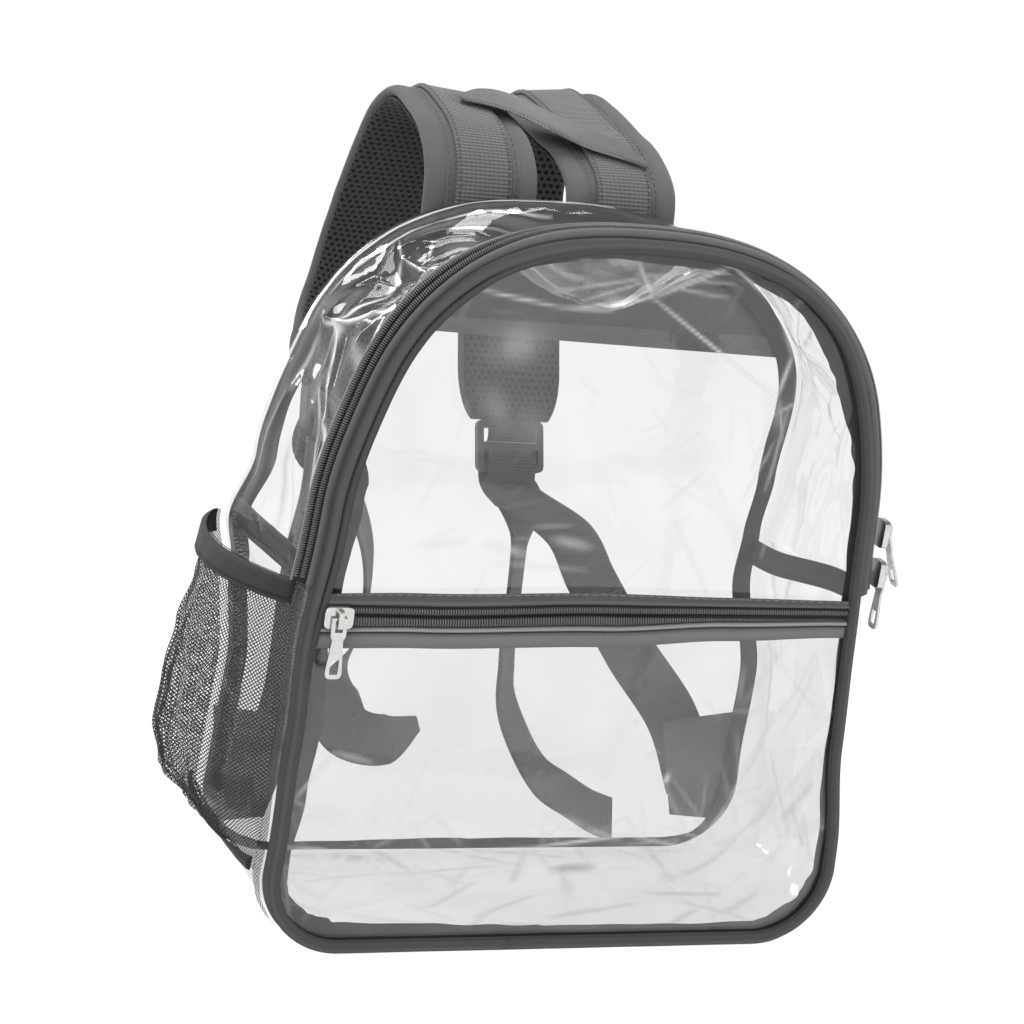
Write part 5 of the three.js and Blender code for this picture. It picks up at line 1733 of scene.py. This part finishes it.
def lower_webbing(name, sign, rows, place, webbing):
    """Webbing from the lock to the anchor tab at the bag's lower corner."""
    centre, along, flat, _ = place
    tab_x = float(side_x(56, BACK_Y, sign, 0)) - sign * 21
    face_y = BACK_Y + 3 * GAP + 1.8 + WEBBING_THICK / 2
    start = centre + along * (LADDER_LENGTH / 2 + GAP + 3)
    below = start + along * LADDER_THICK
    end = np.array([tab_x, face_y, 30.0])
    sewn = np.array([tab_x - sign * 14, face_y + 3, 62.0])
    flat_end = np.cross(unit(end - sewn), [0, -1, 0])
    if flat_end[0] < 0:
        flat_end = -flat_end
    points = [start, below, *steps_from(start, rows), sewn, end]
    ribbon = Ribbon(points, 120, lambda t: lerp(flat, flat_end, smooth(t / 0.7)))
    half = WEBBING_THICK / 2
    flat_band(f"lower_webbing_{name}", ribbon, -half, half, webbing)


def webbing_tail(name, rows, place, webbing, turn, end_width):
    """A loose end that hangs in the plane of the back, turned by an angle, and may be cut narrower."""
    centre, along, flat, face = place
    half = WEBBING_THICK / 2
    start = centre + face * (LADDER_THICK / 2 + half + 2 * GAP)
    below = start + along * (LADDER_LENGTH / 2 + 2) + face * 4
    points = [start, below, *steps_from(start, rows)]
    ribbon = Ribbon(points, 220, lambda t: (1.0, 0.0, 0.0))
    in_plane = unit(np.stack([-ribbon.along[:, 2], 0 * ribbon.t, ribbon.along[:, 0]], -1))
    first = smooth((ribbon.t - 0.04) / 0.2)[:, None]
    level = turn(ribbon.t)[:, None]
    hanging = in_plane * np.cos(level) + np.array([0.0, 1.0, 0.0]) * np.sin(level)
    ribbon.turn_flat(unit(lerp(flat[None, :], hanging, first)))
    profile = band_profile(WEBBING / 2, -half, half)
    narrow = lerp(end_width, 1.0, np.minimum(1, ribbon.left() / 16))[:, None]
    points = ribbon.points(profile[None, :, 0] * narrow, profile[None, :, 1] + 0 * narrow)
    made = grid(f"webbing_tail_{name}_band", points, ring_v=True, caps=True)
    add(sharpen(made, 70), webbing, [f"webbing_tail_{name}"])


def lock_webbing(name, place, webbing):
    """The webbing over the lock's bars, in two arched lengths on one of its faces."""
    centre, along, flat, face = place
    t = np.linspace(0, 1, 40)
    profile = band_profile(WEBBING / 2 - 0.6, -0.6, 0.6)
    arch = np.sin(math.pi * t) ** 0.6
    for part, low, high in (("top", -13.5, -2.0), ("low", -1.5, 16.5)):
        points = []
        for r, a in zip(lerp(low, high, t), arch):
            base = centre + along * r - face * (1.2 + 2.2 * a)
            points.append(base + flat * profile[:, :1] - face * profile[:, 1:])
        loop = grid(f"lock_webbing_{name}_{part}", np.array(points), ring_v=True, caps=True)
        add(sharpen(loop, 70), webbing)


def strap_top(ribbon, y):
    """The height of a strap's upper face at depths on its way out from the yoke."""
    line = ribbon.points([0.0], [STRAP_THICK / 2 + 2 * GAP + 1.5])[:, 0]
    rising = int(np.argmax(line[:, 1]))
    return np.interp(y, line[: rising + 1, 1], line[: rising + 1, 2])


def haul_handle(left, right, webbing):
    """The flat handle across both straps, narrowing to its ends."""
    start = -36
    end = 43
    x = np.linspace(start, end, 150)
    front = lerp(92, 64, (x - start) / (end - start))
    share = smooth((x + 26) / 49)
    pointed = np.minimum(1, (x - start + 0.5) / 34) ** 0.75
    pointed = pointed * np.minimum(1, (end + 0.5 - x) / 40) ** 0.8
    rim = np.linspace(0, 1, 20)
    y = front[:, None] + rim[None, :] * (38 * pointed[:, None] + 1.5)
    top = lerp(strap_top(left, y), strap_top(right, y), share[:, None]) + 5 * GAP
    edge = soft_edge(rim, 0, 1, 0.04)[None, :]
    wide = np.broadcast_to(x[:, None], y.shape)
    cushion = 0.35 * waves(wide, y, 101, 5, 30)
    up = np.stack([wide, y, top + (0.8 + 0.8 * edge + 0 * y) + np.maximum(0, cushion)], -1)
    down = np.stack([wide, y, top + 0.8 - 0.8 * edge], -1)
    made = closed_band("haul_handle_band", up, down[:, ::-1], 70)
    add(made, webbing, ["haul_handle"])


def anchor_tab(name, sign, cloth):
    """The cloth tab that is sewn over the end of the lower webbing, with a seam inside its rim."""
    y = BACK_Y + GAP
    low = 12

    def corner(rise, inward, height):
        return float(side_x(low + rise, BACK_Y, sign, 0.5)) - sign * inward, low + height

    corners = [corner(14, 8, 2), corner(56, 0, 56), corner(56, 42, 50), corner(14, 30, 4)]
    u = np.linspace(0, 1, 26)[:, None]
    v = np.linspace(0, 1, 26)[None, :]
    x, z = (
        lerp(lerp(corners[0][k], corners[3][k], u), lerp(corners[1][k], corners[2][k], u), v)
        for k in (0, 1)
    )
    near_u = np.minimum(u, 1 - u)
    near_v = np.minimum(v, 1 - v)
    rim = np.minimum(1, np.minimum(near_u, near_v) / 0.07) ** 0.5
    seam = np.maximum(ridge(near_u, 0.13, 0.025) + 0 * v, ridge(near_v, 0.1, 0.02) + 0 * u)
    rise = 0.8 + 1.0 * rim - 0.4 * seam
    front = np.stack([x, np.full(x.shape, y + 0.1), z], -1)
    rear = np.stack([x, y + rise, z], -1)
    made = grid(f"anchor_tab_{name}_cloth", np.concatenate([front, rear[::-1]], 0), ring_u=True)
    add(sharpen(made, 60), cloth, [f"anchor_tab_{name}"])


# The side pocket.


def net_x(z, share, extra=0.0, gathers=1.0):
    z, share = np.broadcast_arrays(np.asarray(z, float), share)
    y = lerp(NET_FRONT, NET_BACK, share)
    up = np.clip((z - NET_BOTTOM) / (NET_TOP - NET_BOTTOM), 0, 1)
    out = eased(NET_ROWS, 1, up)
    bow = np.sin(math.pi * np.clip(share, 0, 1)) ** 0.7
    pleats = 1.6 * np.sin(2 * math.pi * NET_GATHERS * share) * gathers
    stand = NET_BULGE * out * bow + pleats * bow * 0.8
    x = np.zeros(z.shape)
    for k in range(z.shape[1]):
        x[:, k] = side_x(z[:, k], y[0, k], -1, 0)
    return x - np.maximum(0, stand) - 1.8 - extra, y


def net_band(name, low, high, thick, node, groove, tape):
    """A sewn band round the net pocket, with one stitched groove."""
    shares = np.linspace(0, 1, NET_COLUMNS)
    heights = np.linspace(low, high, 11)
    zz, ss = np.meshgrid(heights, shares, indexing="ij")
    edge = soft_edge(heights, low, high, 1.0)
    rise = 2.1 + thick * (0.4 + 0.6 * edge) - ridge(heights, groove, 0.5) * 0.6
    outer, y = net_x(zz, ss, 0, 0)
    outer = outer - rise[:, None] - 0.25 * waves(ss * 200, zz * 0.2, 113, 7, 30)
    inner, _ = net_x(zz, ss, 2.1, 0)
    a = np.stack([outer, y, zz], -1)
    b = np.stack([inner, y, zz], -1)
    points = np.concatenate([a, b[::-1]], 0).transpose(1, 0, 2)
    made = grid(name, points, ring_v=True, caps=True)
    # Painted shade in the stitched groove and on the inner face, and a painted highlight along the top
    # edge.
    tone = -0.5 * ridge(heights, groove, 0.4) + 0.12 * ridge(heights, high, 1.5)
    set_painted_light(made, np.tile(np.concatenate([tone, tone * 0 - 0.3]), (NET_COLUMNS, 1)))
    add(sharpen(made, 60), tape, [node])


def side_pocket(net, tape):
    rows = 110
    z = np.linspace(NET_BOTTOM, NET_TOP, rows)[:, None] + np.zeros((1, NET_COLUMNS))
    share = np.linspace(0, 1, NET_COLUMNS)[None, :] + np.zeros((rows, 1))
    up = (z - NET_BOTTOM) / (NET_TOP - NET_BOTTOM)
    x, y = net_x(z, share, 0.6, 1 - up**5)
    bow = np.sin(math.pi * share) ** 0.7
    folds = 1.9 * waves(share * 200, up * 18, 111, 9, 9) + 1.5 * waves(share * 200, up * 9, 112, 7, 22)
    calm = np.sin(math.pi * np.clip(up, 0, 1)) ** 0.4
    x = x - folds * bow * (0.1 + 0.9 * calm)
    made = grid("side_pocket_mesh", np.stack([x, y, z], -1))
    add(made, net, ["side_pocket_net"])

    low, high = NET_TOP - 10, NET_TOP
    net_band("side_pocket_elastic_band", low, high, 2.2, "side_pocket_elastic", NET_TOP - 8, tape)
    low, high = NET_BOTTOM, NET_BOTTOM + 6
    net_band("side_pocket_hem_band", low, high, 2.0, "side_pocket_hem", NET_BOTTOM + 4.4, tape)

    s = np.linspace(LEFT_JOINT, STATIONS - 6, 160)
    y = np.linspace(BINDING_BACK + GAP, FRONT_Y + ZIP_SHARE * DEPTH, 9)
    points = skin(s[:, None], y[None, :], 1.0 + 0.3 * waves(s[:, None] * 9, y[None, :], 115, 5, 12))
    add(grid("side_pocket_sewn_edge", points), net, ["side_pocket_strip"])


def left_turn(t):
    """How far the left tail is turned edge on along its length, in radians."""
    return 1.15 * smooth((t - 0.05) / 0.15) * (1 - smooth((t - 0.62) / 0.16))


def right_turn(t):
    """The same for the right tail."""
    return 0.95 * smooth((t - 0.05) / 0.2)


def dress_hardware(metal, plastic):
    """Gives the hard CAD parts their materials."""
    zips = [f"{zip}_{part}" for zip in ("pocket", "upper", "lower") for part in ("slider", "pull")]
    locks = [f"ladder_lock_{side}" for side in ("left", "right")]
    for names, material in ((zips, metal), (locks, plastic)):
        for name in names:
            node = bpy.data.objects[name]
            node.data.materials.clear()
            node.data.materials.append(material)


make_camera()
make_floor()
make_lights()

binding_tape = woven_tape("binding_tape", 0.06)
seam_cloth = woven_tape("seam_cloth", 0.042, 0.0009)
zip_tape = woven_tape("zip_tape", 0.08)
light_tape = woven_tape("light_tape", 0.145)
elastic_tape = woven_tape("elastic_tape", 0.03)
canvas = pad_cloth()
webbing = ribbed_webbing("webbing_ribs", 0.055)
strap_ribs = ribbed_webbing("strap_ribs", 0.095)
handle_webbing = ribbed_webbing("handle_ribs", 0.085)
lining = air_mesh()
clear = clear_sheet("clear_sheet_soft", 0.12, 0.5)
clear_front = clear_sheet("clear_sheet_front", 0.15, 0.42)
coil = coil_plastic()
sewing = thread("sewing_thread", 0.03)
pale_sewing = thread("pale_thread", 0.12)

front_sheet(clear_front)
pocket_sheet(clear_front)
back_sheet(clear)
upper_gusset(clear)
lower_gusset(clear)
front_binding(binding_tape, sewing)
seam_allowance(seam_cloth)
back_binding(binding_tape)
main_zip(zip_tape, light_tape, coil)
pocket_zip(zip_tape, light_tape, coil, pale_sewing)
joint_band(-1, 0, "gusset_joint_left_tape", "gusset_joint_left", binding_tape)
joint_band(1, 12, "gusset_joint_right_tape", "gusset_joint_right", binding_tape)
yoke(canvas, sewing)

left_ribbon = strap_ribbon(LEFT_STRAP, 220, -0.09)
right_ribbon = strap_ribbon(RIGHT_STRAP, 220, 0.12)
for name, seed, ribbon in (("left", 90, left_ribbon), ("right", 92, right_ribbon)):
    strap_pad(name, seed, ribbon, canvas, sewing)
    strap_lining(name, ribbon, lining)
    strap_webbing(name, ribbon, strap_ribs, sewing)
haul_handle(left_ribbon, right_ribbon, handle_webbing)

left_place = ladder_place(left_ribbon)
right_place = ladder_place(right_ribbon)
lower_webbing("left", -1, LEFT_LOWER, left_place, webbing)
lower_webbing("right", 1, RIGHT_LOWER, right_place, webbing)
webbing_tail("left", LEFT_TAIL, left_place, webbing, left_turn, 0.3)
lock_webbing("left", left_place, webbing)
lock_webbing("right", right_place, webbing)
webbing_tail("right", RIGHT_TAIL, right_place, webbing, right_turn, 1.0)
anchor_tab("left", -1, canvas)
anchor_tab("right", 1, canvas)
side_pocket(open_net(), elastic_tape)
dress_hardware(nickel(), lock_plastic())

scene = bpy.context.scene
scene.view_settings.view_transform = "Standard"
scene.cycles.transparent_max_bounces = 40
scene.cycles.max_bounces = 14
